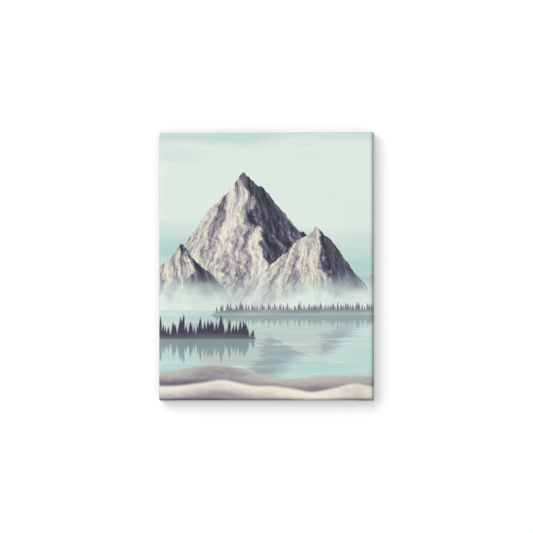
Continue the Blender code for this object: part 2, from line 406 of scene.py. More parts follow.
@dataclass(frozen=True)
class LakePicture:
    """A hazy mountain lake: pale aqua sky and water, striped rock and soft banks in front.

    x runs to the right from the picture's middle and y up from its lower edge, both in shares of
    the picture's height, so the picture goes on past its edges, round the sides of the frame.
    """

    aqua_pale: Colour = ink(224, 236, 228)
    aqua_top: Colour = ink(196, 219, 213)
    aqua_deep: Colour = ink(176, 210, 205)
    far_blue: Colour = ink(160, 180, 187)
    cream: Colour = ink(238, 236, 221)
    sand: Colour = ink(224, 219, 203)
    warm_grey: Colour = ink(196, 192, 186)
    dusk_grey: Colour = ink(148, 143, 150)
    plum: Colour = ink(92, 88, 110)
    slate: Colour = ink(60, 58, 76)
    night: Colour = ink(34, 33, 46)
    mirror_dark: Colour = ink(122, 130, 146)
    mirror_lit: Colour = ink(196, 200, 196)
    waterline: float = 0.335
    gully_rough: float = 0.6
    broad: Gully = Gully(5.5, 4.5, 0.35, 2.0, 4.0, 1.8)
    fine: Gully = Gully(22.0, 18.0, 0.30, 5.0, 7.0, 3.0)
    woods: tuple[FirWood, ...] = (
        FirWood(0.318, 0.34, -1.0, 0.040, 85.0, 3.0, 0.55, ink(92, 96, 116), ink(140, 146, 156)),
        FirWood(0.228, 0.10, 1.0, 0.092, 46.0, 8.0, 0.15, ink(38, 37, 52), ink(84, 82, 102)),
    )
    peaks: tuple[Peak, ...] = (
        Peak(-0.085, 0.860, 1.30, 1.02, 1.7),
        Peak(0.185, 0.660, 0.95, 1.30, 7.3),
        Peak(-0.320, 0.585, 1.00, 1.05, 4.1),
    )

    def sky(self, bench: Bench, x: Wire, y: Wire) -> Wire:
        """Paints soft level bands of cloud.

        Args:
            bench: The material in hand.
            x: Place across the picture.
            y: Place up the picture.

        Returns:
            The sky's colour.
        """
        drift = bench.noise(x * 1.3 + 3.0, y * 7.0, detail=3.0)
        bands = (
            (0.30, self.aqua_pale),
            (0.50, self.aqua_deep),
            (0.60, self.aqua_top),
            (0.72, self.aqua_pale),
            (0.93, self.aqua_pale),
            (1.01, self.aqua_top),
        )
        cloud = bench.rise(bench.noise(x * 4.0, y * 22.0, 3.0), 0.0, 0.35)
        return bench.mix(cloud * 0.5, bench.ramp(y + drift * 0.35, bands), self.aqua_pale)

    def far_range(self, bench: Bench, x: Wire, y: Wire, behind: Wire) -> Wire:
        """Paints the low blue range beyond the lake.

        Args:
            bench: The material in hand.
            x: Place across the picture.
            y: Place up the picture.
            behind: The colour that it covers.

        Returns:
            The picture so far.
        """
        skyline = 0.47 + bench.noise(x * 5.0, 11.0, detail=6.0, rough=0.55) * 0.26
        colour = bench.mix(bench.rise(y, 0.36, 0.50), self.aqua_pale, self.far_blue)
        return bench.mix(bench.rise(skyline - y, -0.003, 0.003), behind, colour)

    def peak_face(self, bench: Bench, x: Wire, y: Wire, peak: Peak) -> Face:
        """Works out one mountain's skyline, its lit flank and the run of its gullies.

        Args:
            bench: The material in hand.
            x: Place across the picture.
            y: Place up the picture.
            peak: The mountain.

        Returns:
            What is seen of it at that point.
        """
        across = x - peak.centre
        fall = bench.highest(across * peak.fall_right, across * -peak.fall_left)
        rough = bench.noise(x * 10.0, peak.seed, detail=8.0, rough=0.6) * 0.12
        depth = peak.height - y
        wobble = bench.noise(y * 13.0, peak.seed + 3.0, x * 9.0, detail=5.0, rough=0.55) * 0.17
        spine = depth * 0.24 + peak.centre + wobble
        return Face(
            skyline=peak.height - fall + rough,
            lit=bench.rise(spine - x, -0.014, 0.014),
            ray=across / (bench.highest(depth, 0.0) + 0.12),
            depth=depth + peak.seed,
        )

    def massif(self, bench: Bench, x: Wire, y: Wire) -> Face:
        """Sets the mountains one before another, the first one furthest back.

        Args:
            bench: The material in hand.
            x: Place across the picture.
            y: Place up the picture.

        Returns:
            What is seen of them all at that point.
        """
        seen = self.peak_face(bench, x, y, self.peaks[0])
        for peak in self.peaks[1:]:
            near = self.peak_face(bench, x, y, peak)
            front = bench.rise(near.skyline - y, -0.0015, 0.0015)
            seen = Face(
                skyline=bench.highest(seen.skyline, near.skyline),
                lit=seen.lit + (near.lit - seen.lit) * front,
                ray=seen.ray + (near.ray - seen.ray) * front,
                depth=seen.depth + (near.depth - seen.depth) * front,
            )
        return seen

    def gullies(self, bench: Bench, face: Face, warp: Wire, cut: Gully) -> Wire:
        """Lights one size of gully from the side: noise less the same noise a step away.

        Args:
            bench: The material in hand.
            face: What is seen of the massif.
            warp: Noise that bends the gullies.
            cut: Their size.

        Returns:
            The light on them, about 0 where the slope is even.
        """
        u = face.ray * cut.across + warp * cut.bend
        v = face.depth * cut.along
        here = bench.noise(u, v, cut.seed, cut.detail, self.gully_rough)
        return here - bench.noise(u + cut.step, v, cut.seed, cut.detail, self.gully_rough)

    def rock(self, bench: Bench, x: Wire, y: Wire, behind: Wire) -> Wire:
        """Paints the massif, striped and cut by gullies, with haze at its foot.

        Args:
            bench: The material in hand.
            x: Place across the picture.
            y: Place up the picture.
            behind: The colour that it covers.

        Returns:
            The picture so far.
        """
        face = self.massif(bench, x, y)
        warp = bench.noise(x * 12.0, y * 12.0, 9.0, detail=4.0, rough=0.6)
        broad = self.gullies(bench, face, warp, self.broad)
        fine = self.gullies(bench, face, warp, self.fine)
        grain = bench.noise(x * 90.0, y * 110.0, 8.0, detail=5.0, rough=0.7)
        layers = (x * 0.42 + y) * 85.0 + warp * 5.0
        strata = bench.noise(layers, x * 4.0, 1.0, detail=5.0, rough=0.7)
        tone = face.lit * 0.50 + 0.20 + broad * 1.5 + fine * 1.25 + strata * 0.42 + grain * 0.22
        stone = (
            (0.0, self.night),
            (0.16, self.slate),
            (0.34, self.plum),
            (0.54, self.dusk_grey),
            (0.70, self.warm_grey),
            (0.85, self.sand),
            (1.0, self.cream),
        )
        lumps = bench.noise(x * 5.0, y * 9.0, 6.0, detail=5.0, rough=0.55)
        clear = bench.rise(y + lumps * 0.18, 0.345, 0.50)
        veil = bench.mix(clear, self.aqua_pale, self.far_blue)
        hazy = bench.mix(0.93 - clear * 0.90, bench.ramp(tone, stone), veil)
        return bench.mix(bench.rise(face.skyline - y, -0.0012, 0.0012), behind, hazy)

    def water(self, bench: Bench, x: Wire, y: Wire, behind: Wire) -> Wire:
        """Paints the lake with the massif mirrored in it, broken by ripples.

        Args:
            bench: The material in hand.
            x: Place across the picture.
            y: Place up the picture.
            behind: The colour that it covers.

        Returns:
            The picture so far.
        """
        below = self.waterline - y
        ripple = bench.noise(x * 3.0, y * 60.0, 2.0, detail=4.0, rough=0.6)
        chop = bench.noise(x * 9.0, y * 170.0, 4.0, detail=3.0, rough=0.6)
        bands = ((0.2, self.aqua_deep), (0.5, self.aqua_top), (0.8, self.aqua_pale))
        lake = bench.ramp(ripple * 0.9 + 0.62 - below * 1.1, bands)
        mirror_y = self.waterline + below * 1.7 + chop * 0.05
        face = self.massif(bench, x + ripple * 0.05 + chop * 0.12, mirror_y)
        image = bench.rise(face.skyline - mirror_y, -0.05, 0.06)
        strength = image * (0.10 + bench.rise(below, 0.0, 0.12) * 0.50)
        tone = face.lit * 0.75 + ripple * 0.5 + 0.1
        lake = bench.mix(strength, lake, bench.mix(tone, self.mirror_dark, self.mirror_lit))
        glint = bench.rise(ripple + chop * 0.6, 0.08, 0.28)
        lake = bench.mix(glint * 0.6, lake, self.aqua_pale)
        return bench.mix(bench.rise(below, -0.0008, 0.0008), behind, lake)

    def firs(self, bench: Bench, x: Wire, y: Wire, wood: FirWood) -> Wire:
        """Finds where a spit of land and its row of firs are.

        Args:
            bench: The material in hand.
            x: Place across the picture.
            y: Place up the picture, or mirrored in the water.
            wood: The spit and its trees.

        Returns:
            1 on the land and the trees, and 0 elsewhere.
        """
        land = wood.shore + bench.noise(x * 9.0, wood.seed, detail=4.0) * 0.012
        land = land + 0.018 - bench.rise(x * wood.way, wood.tip - 0.22, wood.tip) * 0.05
        firm = bench.rise(land, wood.shore - 0.001, wood.shore + 0.010)
        cover = bench.rise(land - y, -0.0008, 0.0008)
        for number in range(3):
            seed = wood.seed + 3.7 * number
            feeds = {"Scale": 1.0, "Randomness": 0.9}
            cells = bench.node("ShaderNodeTexVoronoi", feeds, voronoi_dimensions="1D")
            bench.feed(cells.inputs["W"], x * wood.trees + seed * 5.0)
            chance = bench.node("ShaderNodeSeparateColor", {0: cells.outputs["Color"]})
            luck = Wire(bench, chance.outputs[0])
            away = Wire(bench, cells.outputs["Distance"]) / wood.trees
            crowd = bench.noise(x * 5.0, seed, 2.0) * 0.9 + 0.75
            top = land + (luck * 0.75 + 0.30) * crowd * firm * wood.height
            under = top - y
            twig = bench.noise(x * 700.0, y * 330.0, seed, detail=2.0) * 0.0040
            tier = bench.math("FRACT", under * (150.0 - luck * 30.0))
            half = under * (0.17 + luck * 0.07) * (0.72 + tier * 0.42) + twig
            trunk = bench.rise(half - away, -0.0010, 0.0010) * bench.rise(under, 0.0, 0.002)
            cover = bench.highest(cover, trunk * bench.rise(y - land, -0.01, -0.002))
        return cover

    def spit(self, bench: Bench, x: Wire, y: Wire, behind: Wire, wood: FirWood) -> Wire:
        """Paints a spit with its firs, and its image in the water.

        Args:
            bench: The material in hand.
            x: Place across the picture.
            y: Place up the picture.
            behind: The colour that it covers.
            wood: The spit and its trees.

        Returns:
            The picture so far.
        """
        chop = bench.noise(x * 14.0, y * 190.0, wood.seed, detail=3.0, rough=0.6)
        image = self.firs(bench, x + chop * 0.010, wood.shore * 2.0 - y + chop * 0.010, wood)
        wet = bench.rise(wood.shore - y, -0.0006, 0.0006)
        fade = 1.0 - bench.rise(wood.shore - y, 0.0, wood.height * 2.2)
        mirror = bench.mix(0.35, wood.deep, self.aqua_deep)
        picture = bench.mix(image * wet * (0.30 + fade * 0.50), behind, mirror)
        tone = bench.noise(x * 60.0, y * 130.0, wood.seed, detail=5.0, rough=0.65) + 0.45
        foliage = bench.mix(tone, wood.deep, wood.light)
        lift = y + bench.noise(x * 6.0, y * 16.0, 3.0) * 0.03
        haze = bench.rise(lift, wood.shore + 0.03, wood.shore - 0.01)
        foliage = bench.mix(haze * wood.mist, foliage, self.aqua_pale)
        return bench.mix(self.firs(bench, x, y, wood) * (1.0 - wet), picture, foliage)

    def banks(self, bench: Bench, x: Wire, y: Wire, behind: Wire) -> Wire:
        """Paints the soft banks of the foreground, the furthest one first.

        Args:
            bench: The material in hand.
            x: Place across the picture.
            y: Place up the picture.
            behind: The colour that they cover.

        Returns:
            The finished picture.
        """
        rows = (
            Bank(0.092, 0.20, 1.9, 21.0, 0.004, self.warm_grey, self.plum),
            Bank(0.052, 0.24, 2.6, 33.0, 0.007, self.cream, self.dusk_grey),
            Bank(-0.004, 0.26, 2.2, 47.0, 0.010, self.dusk_grey, self.slate),
        )
        picture = behind
        for bank in rows:
            swell = bench.noise(x * bank.pace, bank.seed, detail=1.5, rough=0.4)
            under = bank.crest + swell * bank.swell - y
            sand = bench.noise(x * 30.0, y * 75.0, bank.seed, detail=6.0, rough=0.62)
            slope = (x * 3.0 + y * 14.0, y * 9.0 - x * 2.0)
            drift = bench.noise(*slope, bank.seed + 2.0) * 0.09
            shade = bench.rise(under + sand * 0.035 + drift, -0.008, 0.070)
            colour = bench.mix(shade * 0.92, bank.top, bank.foot)
            picture = bench.mix(bench.rise(under, -bank.blur, bank.blur), picture, colour)
        return picture

    def paint(self, bench: Bench, x: Wire, y: Wire) -> Wire:
        """Paints the whole picture.

        Args:
            bench: The material in hand.
            x: Place across the picture.
            y: Place up the picture.

        Returns:
            The picture's colour.
        """
        picture = self.far_range(bench, x, y, self.sky(bench, x, y))
        picture = self.rock(bench, x, y, picture)
        picture = self.water(bench, x, y, picture)
        for wood in self.woods:
            picture = self.spit(bench, x, y, picture, wood)
        return self.banks(bench, x, y, picture)


# --- Finishes ---


@dataclass(frozen=True)
class Weave:
    """A plain weave, one thread over and one under."""

    pitch: float = 0.00066  # from one thread to the next
    wander: float = 0.00018  # how far a thread strays from its line
    wander_length: float = 0.012
    dip: float = 0.45  # how much lower a thread is where it goes under
    slub_length: float = 0.009
    slub: float = 0.45  # height of the thick places in the yarn

    def relief(self, bench: Bench, u: Wire, v: Wire) -> Wire:
        """Works out the height of the threads.

        Args:
            bench: The material in hand.
            u: Place across the flat cloth, in metres.
            v: Place along the flat cloth, in metres.

        Returns:
            The height, from about 0 between the threads to 1 on their crowns.
        """
        near = 1.0 / self.wander_length
        a = (u + bench.noise(u * near, v * near, 3.0) * self.wander) / self.pitch
        b = (v + bench.noise(u * near, v * near, 7.0) * self.wander) / self.pitch
        warp = bench.math("SINE", bench.math("FRACT", a) * math.pi)
        weft = bench.math("SINE", bench.math("FRACT", b) * math.pi)
        cell = bench.math("FLOOR", a) + bench.math("FLOOR", b)
        over = bench.math("MODULO", bench.math("ABSOLUTE", cell), 2.0)
        upright = warp * (weft * self.dip + (1.0 - self.dip))
        level = weft * (warp * self.dip + (1.0 - self.dip))
        threads = upright + (level - upright) * over
        run, tread = 1.0 / self.slub_length, 1.0 / (2.0 * self.pitch)
        slubs = bench.noise(u * tread, v * run, 11.0) * (1.0 - over)
        slubs = slubs + bench.noise(u * run, v * tread, 13.0) * over
        return threads + slubs * self.slub


@dataclass(frozen=True)
class PrintedCloth:
    """The picture in ink on primed cloth, white again where the ink ends on the flap."""

    face_half_width: float
    face_half_height: float
    picture_height: float
    bleed: float
    picture: LakePicture = field(default_factory=LakePicture)
    weave: Weave = field(default_factory=Weave)
    primer: Colour = ink(240, 240, 236)
    shade: Colour = ink(60, 62, 70)  # painted shade between the threads
    fray: float = 0.0006  # how far the ink's end wanders
    soft_end: float = 0.0003  # half the width over which it fades
    depth: float = 0.00016

    def make(self) -> Material:
        """Builds the material.

        Returns:
            The material.
        """
        bench = Bench(bpy.data.materials.new("ink_on_primed_cloth"))
        u, v, _ = bench.place(CLOTH_MAP)
        relief = self.weave.relief(bench, u, v)
        painted = self.picture.paint(bench, u / self.picture_height, v / self.picture_height + 0.5)
        past = bench.highest(abs(u) - self.face_half_width, abs(v) - self.face_half_height)
        edge = past + bench.noise(u * 900.0, v * 900.0, 5.0) * self.fray
        bare = bench.rise(edge, self.bleed - self.soft_end, self.bleed + self.soft_end)
        thin = bench.rise(relief, 0.86, 1.15) * 0.05
        colour = bench.mix(bench.highest(bare, thin), painted, self.primer)
        # Painted shade: the colour darkens towards the shade colour where the threads are low, in
        # the gaps between them.
        colour = bench.mix(bench.rise(-relief, -0.32, 0.05) * 0.16, colour, self.shade)
        roughness = bench.noise(u * 35.0, v * 35.0, 2.0, detail=3.0) * 0.10 + 0.64 - relief * 0.05
        return bench.surface(
            Base_Color=colour,
            Roughness=roughness,
            Normal=bench.bump(relief, self.depth),
            Specular_IOR_Level=0.22,
        )


@dataclass(frozen=True)
class RawCloth:
    """The unprimed back of the cloth and its cut edge."""

    weave: Weave = field(default_factory=Weave)
    light: Colour = ink(240, 236, 224)
    dark: Colour = ink(212, 203, 182)
    seed: Colour = ink(158, 136, 104)  # specks of cotton seed
    thread_pace: tuple[float, float] = (620.0, 26.0)  # noise per metre across a thread and along
    depth: float = 0.0002

    def make(self) -> Material:
        """Builds the material.

        Returns:
            The material.
        """
        bench = Bench(bpy.data.materials.new("raw_cloth"))
        u, v, _ = bench.place(CLOTH_MAP)
        relief = self.weave.relief(bench, u, v)
        across, along = self.thread_pace
        threads = bench.noise(u * across, v * along, 4.0, detail=3.0)
        threads = threads + bench.noise(u * along, v * across, 6.0, detail=3.0)
        cloudy = bench.noise(u * 9.0, v * 9.0, 8.0, detail=3.0)
        # Painted light and shade: the weave's relief makes the colour lighter on the thread crowns
        # and darker in the gaps between them. The threads and cloudy terms are the yarn's own tone.
        tone = relief * 0.55 + 0.22 + threads * 0.9 + cloudy * 0.25
        colour = bench.mix(tone, self.dark, self.light)
        specks = bench.rise(bench.noise(u * 700.0, v * 700.0, 9.0), 0.27, 0.32)
        colour = bench.mix(specks * 0.5, colour, self.seed)
        return bench.surface(
            Base_Color=colour,
            Roughness=0.92 - relief * 0.06,
            Normal=bench.bump(relief + threads * 0.5, self.depth),
            Specular_IOR_Level=0.15,
            Sheen_Weight=0.12,
            Sheen_Roughness=0.5,
        )


class Grain(Enum):
    """Which way the grain of a bar runs."""

    ACROSS = "x"
    UPRIGHT = "z"


@dataclass(frozen=True)
class Pine:
    """Planed pine: growth rings in fairly straight lines, fine fibres and a few tight knots."""

    grain: Grain
    ring: float = 0.0026  # width of a year's growth
    pith_back: float = 0.055  # where the middle of the tree was
    pith_across: float = -0.085
    sweep: float = 0.020  # how far the rings drift along a bar
    ripple: float = 0.0022
    uneven: float = 0.0042  # how much the years differ
    round_knots: float = 0.008  # how far the rings give way to a knot
    pale: Colour = ink(238, 216, 178)
    late: Colour = ink(204, 164, 116)
    knot: Colour = ink(116, 72, 42)
    cutter_mark: float = 0.0016  # from one ripple of the planer to the next
    depth: float = 0.00018

    def make(self) -> Material:
        """Builds the material.

        Returns:
            The material.
        """
        bench = Bench(bpy.data.materials.new(f"pine_grain_{self.grain.name.lower()}"))
        x, y, z = bench.place()
        along, across = (x, z) if self.grain is Grain.ACROSS else (z, x)
        eyes = bench.node("ShaderNodeTexVoronoi", {"Scale": 1.0})
        bench.feed(eyes.inputs["Vector"], bench.point(along * 5.2, across * 15.0, y * 9.0))
        eye = Wire(bench, eyes.outputs["Distance"])
        near_eye = 1.0 - bench.rise(eye, 0.05, 0.42)
        sweep = bench.noise(along * 2.2, across * 7.0, y * 7.0) * self.sweep
        ripple = bench.noise(along * 9.0, across * 60.0, y * 60.0) * self.ripple
        side = across - self.pith_across
        depth = y - self.pith_back
        reach = bench.math("SQRT", side * side + depth * depth)
        years = bench.noise(reach * 95.0, 2.0) * self.uneven
        rings = (reach + sweep + ripple + years + near_eye * self.round_knots) / self.ring
        turn = bench.math("FRACT", rings)
        late = bench.rise(turn, 0.30, 0.90) * (1.0 - bench.rise(turn, 0.94, 1.0))
        fibre = bench.noise(along * 55.0, across * 2600.0, y * 2600.0, detail=3.0, rough=0.6)
        pores = bench.noise(along * 120.0, across * 3200.0, y * 3200.0, detail=1.0)
        pores = bench.rise(pores, 0.20, 0.34)
        season = bench.noise(along * 1.3, rings * 0.35, 5.0) * 0.5
        tone = late * 0.62 + fibre * 0.34 + season + 0.10
        colour = bench.mix(tone, self.pale, self.late)
        colour = bench.mix(pores * 0.30, colour, self.knot)
        rim = bench.noise(along * 90.0, across * 90.0, y * 90.0) * 0.03
        knot = 1.0 - bench.rise(eye + rim, 0.045, 0.085)
        halo = 1.0 - bench.rise(eye, 0.06, 0.18)
        colour = bench.mix(halo * 0.35, colour, self.late)
        colour = bench.mix(knot * 0.85, colour, self.knot)
        marks = bench.math("SINE", along * (2 * math.pi / self.cutter_mark)) * 0.10
        torn = bench.noise(along * 30.0, across * 900.0, y * 900.0, detail=4.0) * 0.8
        height = fibre * 0.6 - late * 0.35 + marks + torn * bench.rise(season, -0.05, 0.15)
        return bench.surface(
            Base_Color=colour,
            Roughness=0.60 + fibre * 0.22 - late * 0.10 - knot * 0.12,
            Normal=bench.bump(height, self.depth),
            Specular_IOR_Level=0.35,
        )


@dataclass(frozen=True)
class Metal:
    """A bare or plated metal with a fine grain, faint stains and scratches."""

    name: str
    bright: Colour
    dull: Colour
    roughness: float
    grain: float = 900.0  # streaks per metre
    stretch: float = 0.12  # how much fewer there are along them
    depth: float = 0.00002

    def make(self) -> Material:
        """Builds the material.

        Returns:
            The material.
        """
        bench = Bench(bpy.data.materials.new(self.name))
        x, y, z = bench.place()
        grain = self.grain
        streak = bench.noise(x * grain * self.stretch, y * grain, z * grain, detail=3.0)
        cloud = bench.noise(x * 160.0, y * 160.0, z * 160.0, detail=4.0, rough=0.6)
        pits = bench.rise(bench.noise(x * 2400.0, y * 2400.0, z * 2400.0), 0.18, 0.34)
        stain = bench.rise(cloud, -0.10, 0.22)
        colour = bench.mix(stain * 0.7 + pits * 0.25, self.bright, self.dull)
        roughness = self.roughness + streak * 0.18 + stain * 0.10 + pits * 0.10
        return bench.surface(
            Base_Color=colour,
            Metallic=1.0,
            Roughness=roughness,
            Normal=bench.bump(streak * 0.7 - pits, self.depth),
        )


@dataclass(frozen=True)
class PadRubber:
    """Soft moulded rubber with a fine matt skin and a little dust."""

    body: Colour = ink(66, 66, 68)
    dust: Colour = ink(128, 126, 122)
    depth: float = 0.00005

    def make(self) -> Material:
        """Builds the material.

        Returns:
            The material.
        """
        bench = Bench(bpy.data.materials.new("pad_rubber"))
        x, y, z = bench.place()
        skin = bench.noise(x * 2600.0, y * 2600.0, z * 2600.0, detail=3.0, rough=0.6)
        dust = bench.rise(bench.noise(x * 320.0, y * 320.0, z * 320.0, detail=4.0), 0.02, 0.30)
        return bench.surface(
            Base_Color=bench.mix(dust * 0.35, self.body, self.dust),
            Roughness=0.66 + skin * 0.16 + dust * 0.12,
            Normal=bench.bump(skin, self.depth),
            Specular_IOR_Level=0.4,
        )


@dataclass(frozen=True)
class LooseThread:
    """Cotton thread pulled from the cut edge."""

    pale: Colour = ink(238, 233, 220)
    deep: Colour = ink(202, 192, 170)
    depth: float = 0.00003

    def make(self) -> Material:
        """Builds the material.

        Returns:
            The material.
        """
        bench = Bench(bpy.data.materials.new("loose_thread"))
        x, y, z = bench.place()
        twist = bench.noise(x * 4200.0, y * 4200.0, z * 4200.0)
        return bench.surface(
            Base_Color=bench.mix(twist + 0.5, self.deep, self.pale),
            Roughness=0.88 + twist * 0.1,
            Normal=bench.bump(twist, self.depth),
            Specular_IOR_Level=0.15,
        )


@dataclass(frozen=True)
class StagePaint:
    """A matt backdrop that only one kind of ray meets, and only on its front."""

    name: str
    colour: Colour
    glow: float = 0.0
    met_by: str = "Is Camera Ray"

    def make(self) -> Material:
        """Builds the material.

        Returns:
            The material.
        """
        bench = Bench(bpy.data.materials.new(self.name))
        bench.owner.cycles.emission_sampling = "NONE"
        path = bench.node("ShaderNodeLightPath")
        turned = bench.node("ShaderNodeNewGeometry")
        front = 1.0 - Wire(bench, turned.outputs["Backfacing"])
        met = Wire(bench, path.outputs[self.met_by]) * front
        paint = bench.node("ShaderNodeBsdfDiffuse", {"Color": self.colour})
        shine = bench.node("ShaderNodeEmission", {"Strength": self.glow})
        both = bench.node("ShaderNodeAddShader", {0: paint.outputs[0], 1: shine.outputs[0]})
        clear = bench.node("ShaderNodeBsdfTransparent")
        feeds = {0: met, 1: clear.outputs[0], 2: both.outputs[0]}
        blend = bench.node("ShaderNodeMixShader", feeds)
        bench.node("ShaderNodeOutputMaterial", {"Surface": blend.outputs[0]})
        return bench.owner


# --- Tools for meshes ---

Point = tuple[float, float, float]
Loop = Sequence[Point]
T = TypeVar("T")


def smooth(value: float, low: float, high: float) -> float:
    """Makes a smooth step from 0 at low to 1 at high."""
    share = min(max((value - low) / (high - low), 0.0), 1.0)
    return share * share * (3.0 - 2.0 * share)


def placed(name: str, data: bpy.types.ID) -> Object:
    """Puts a mesh or a camera in the scene.

    Args:
        name: The object's name.
        data: The mesh or the camera.

    Returns:
        The object.
    """
    obj = bpy.data.objects.new(name, data)
    bpy.context.scene.collection.objects.link(obj)
    return obj


def piece(name: str, mesh: BMesh, finishes: Iterable[Material]) -> Object:
    """Turns a mesh in hand into an object of the scene.

    Args:
        name: The piece's name.
        mesh: Its mesh, which is used up.
        finishes: Its materials.

    Returns:
        The object, smooth-shaded.
    """
    data = bpy.data.meshes.new(name)
    mesh.to_mesh(data)
    mesh.free()
    for finish in finishes:
        data.materials.append(finish)
    data.shade_smooth()
    return placed(name, data)


def loft(mesh: BMesh, loops: Sequence[Loop]) -> None:
    """Adds a closed solid through loops of equal length, with a face at each end.

    Args:
        mesh: The mesh that it is added to.
        loops: Its sections, in order.
    """
    rings = [[mesh.verts.new(point) for point in loop] for loop in loops]
    made = [mesh.faces.new(rings[0]), mesh.faces.new(rings[-1])]
    for ring, following in zip(rings, rings[1:]):
        for i in range(len(ring)):
            j = (i + 1) % len(ring)
            made.append(mesh.faces.new((ring[i], ring[j], following[j], following[i])))
    bmesh.ops.recalc_face_normals(mesh, faces=made)


def sheet_corners(grid: Sequence[Sequence[T]]) -> list[tuple[T, T, T, T]]:
    """Lists the four corners of each face between the rows of a grid.

    Args:
        grid: The rows, of equal length.

    Returns:
        The corners of each face, row by row.
    """
    return [
        (row[i], row[i + 1], following[i + 1], following[i])
        for row, following in zip(grid, grid[1:])
        for i in range(len(row) - 1)
    ]


def sheet(mesh: BMesh, places: Sequence[Loop]) -> list[BMFace]:
    """Adds an open sheet through rows of points of equal length, and lists its faces by row."""
    grid = [[mesh.verts.new(place) for place in row] for row in places]
    return [mesh.faces.new(corners) for corners in sheet_corners(grid)]


def turned(profile: Sequence[tuple[float, float]], x: float, z: float, steps: int) -> list[Loop]:
    """Turns a profile of (radius, y) about an axis along Y at x and z, as one ring per point."""
    angles = [2 * math.pi * i / steps for i in range(steps)]
    return [[(x + r * math.cos(t), y, z + r * math.sin(t)) for t in angles] for r, y in profile]


def settled(obj: Object) -> Object:
    """Makes what an object's modifiers give its own mesh, and takes the modifiers off.

    Args:
        obj: The piece.

    Returns:
        The same piece.
    """
    graph = bpy.context.evaluated_depsgraph_get()
    mesh = bpy.data.meshes.new_from_object(obj.evaluated_get(graph), depsgraph=graph)
    obj.modifiers.clear()
    mesh.name = obj.name
    obj.data = mesh
    return obj


def softened(obj: Object, width: float, segments: int, angle: float) -> Object:
    """Breaks the edges of a piece that are sharper than an angle.

    Args:
        obj: The piece.
        width: Width of the bevel.
        segments: Faces across it.
        angle: The least angle, in degrees, of an edge that gets one.

    Returns:
        The same piece.
    """
    bevel = obj.modifiers.new("broken edges", "BEVEL")
    bevel.width = width
    bevel.segments = segments
    bevel.limit_method = "ANGLE"
    bevel.angle_limit = math.radians(angle)
    bevel.harden_normals = True
    return settled(obj)


class Pattern(Tree):
    """A Geometry Nodes tree that repeats one small shape, and gives it its finish."""

    def __init__(self, name: str) -> None:
        """Starts a tree that takes in the points or the path to follow.

        Args:
            name: The tree's name.
        """
        self.tree = bpy.data.node_groups.new(name, "GeometryNodeTree")
        for way in ("INPUT", "OUTPUT"):
            self.tree.interface.new_socket("Geometry", in_out=way, socket_type="NodeSocketGeometry")
        self.source = self.tree.nodes.new("NodeGroupInput")
        self.result = self.tree.nodes.new("NodeGroupOutput")

    @property
    def path(self) -> NodeSocket:
        """The geometry that the shape is repeated along."""
        return self.source.outputs["Geometry"]

    def size(self, name: str, kind: str) -> NodeSocket:
        """Adds an input of a kind, such as Float or Object, and gives the socket of its value."""
        self.tree.interface.new_socket(name, in_out="INPUT", socket_type=f"NodeSocket{kind}")
        return self.source.outputs[name]

    def close(self, instances: NodeSocket, finish: NodeSocket) -> None:
        """Ends the tree in Realize Instances and Set Material.

        Args:
            instances: The repeated shapes.
            finish: Their material.
        """
        real = self.node("GeometryNodeRealizeInstances", {"Geometry": instances})
        feeds = {"Geometry": real.outputs[0], "Material": finish}
        dressed = self.node("GeometryNodeSetMaterial", feeds)
        self.tree.links.new(dressed.outputs[0], self.result.inputs["Geometry"])

    def grow(self, host: Object, **sizes: object) -> Object:
        """Runs the tree on an object and keeps the result as its plain mesh.

        Args:
            host: The object that holds the points or the path.
            **sizes: The values of the named inputs, with _ for a space.

        Returns:
            The same object.
        """
        modifier = host.modifiers.new(self.tree.name, "NODES")
        modifier.node_group = self.tree
        values = {name.replace("_", " "): value for name, value in sizes.items()}
        for item in self.tree.interface.items_tree:
            if item.item_type == "SOCKET" and item.name in values:
                modifier[item.identifier] = values[item.name]
        settled(host)
        host.data.shade_smooth()
        for value in sizes.values():
            if isinstance(value, Object):
                bpy.data.objects.remove(value, do_unlink=True)
        return host


# --- The frame, and the cloth wrapped round it ---


@dataclass(frozen=True)
class BarFrame:
    """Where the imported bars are; y runs from the print (most negative) to the wall (0)."""

    half_width: float
    top: float
    bottom: float
    front: float
    back: float

    @classmethod
    def measured(cls) -> BarFrame:
        """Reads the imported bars.

        Returns:
            Their places.
        """
        top_low, top_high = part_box("bar_top")
        bottom_low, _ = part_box("bar_bottom")
        _, right_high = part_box("bar_right")
        return cls(right_high.x, top_high.z, bottom_low.z, top_low.y, top_high.y)

    @property
    def middle(self) -> float:
        """Height of the frame's middle."""
        return (self.top + self.bottom) / 2

    @property
    def half_height(self) -> float:
        """Half the height of the frame."""
        return (self.top - self.bottom) / 2


class Edge(Enum):
    """A side of the frame, as (along X or not, which way out)."""

    TOP = (True, 1)
    BOTTOM = (True, -1)
    RIGHT = (False, 1)
    LEFT = (False, -1)

    @property
    def level(self) -> bool:
        """Whether the side runs along X."""
        return self.value[0]

    @property
    def way(self) -> int:
        """Which way is out."""
        return self.value[1]


@dataclass(frozen=True)
class StaplePlan:
    """Where the staples are: rows on the back of the bars and one at each folded corner."""

    from_edge: float = 0.014
    end_rows: tuple[float, ...] = (0.036, 0.081, 0.126)
    side_rows: tuple[float, ...] = (0.0, 0.047, 0.094, 0.141, 0.188)
    corner_along: float = 0.022
    corner_in: float = 0.012

    def row(self, edge: Edge) -> list[float]:
        """Places along one side, from the middle."""
        marks = self.end_rows if edge.level else self.side_rows
        return sorted({way * mark for mark in marks for way in (-1, 1)})


class Side(IntEnum):
    """The cloth's material slots."""

    OUTER = 0
    INNER = 1
    RIM = 2


@dataclass(frozen=True)
class TuckedLayer:
    """One of the layers of cloth that lie hidden under a folded corner."""

    height: float  # over the plain cloth
    longer: float  # than the flap, at the cut edge
    folded: bool  # whether its cloth comes from the next side


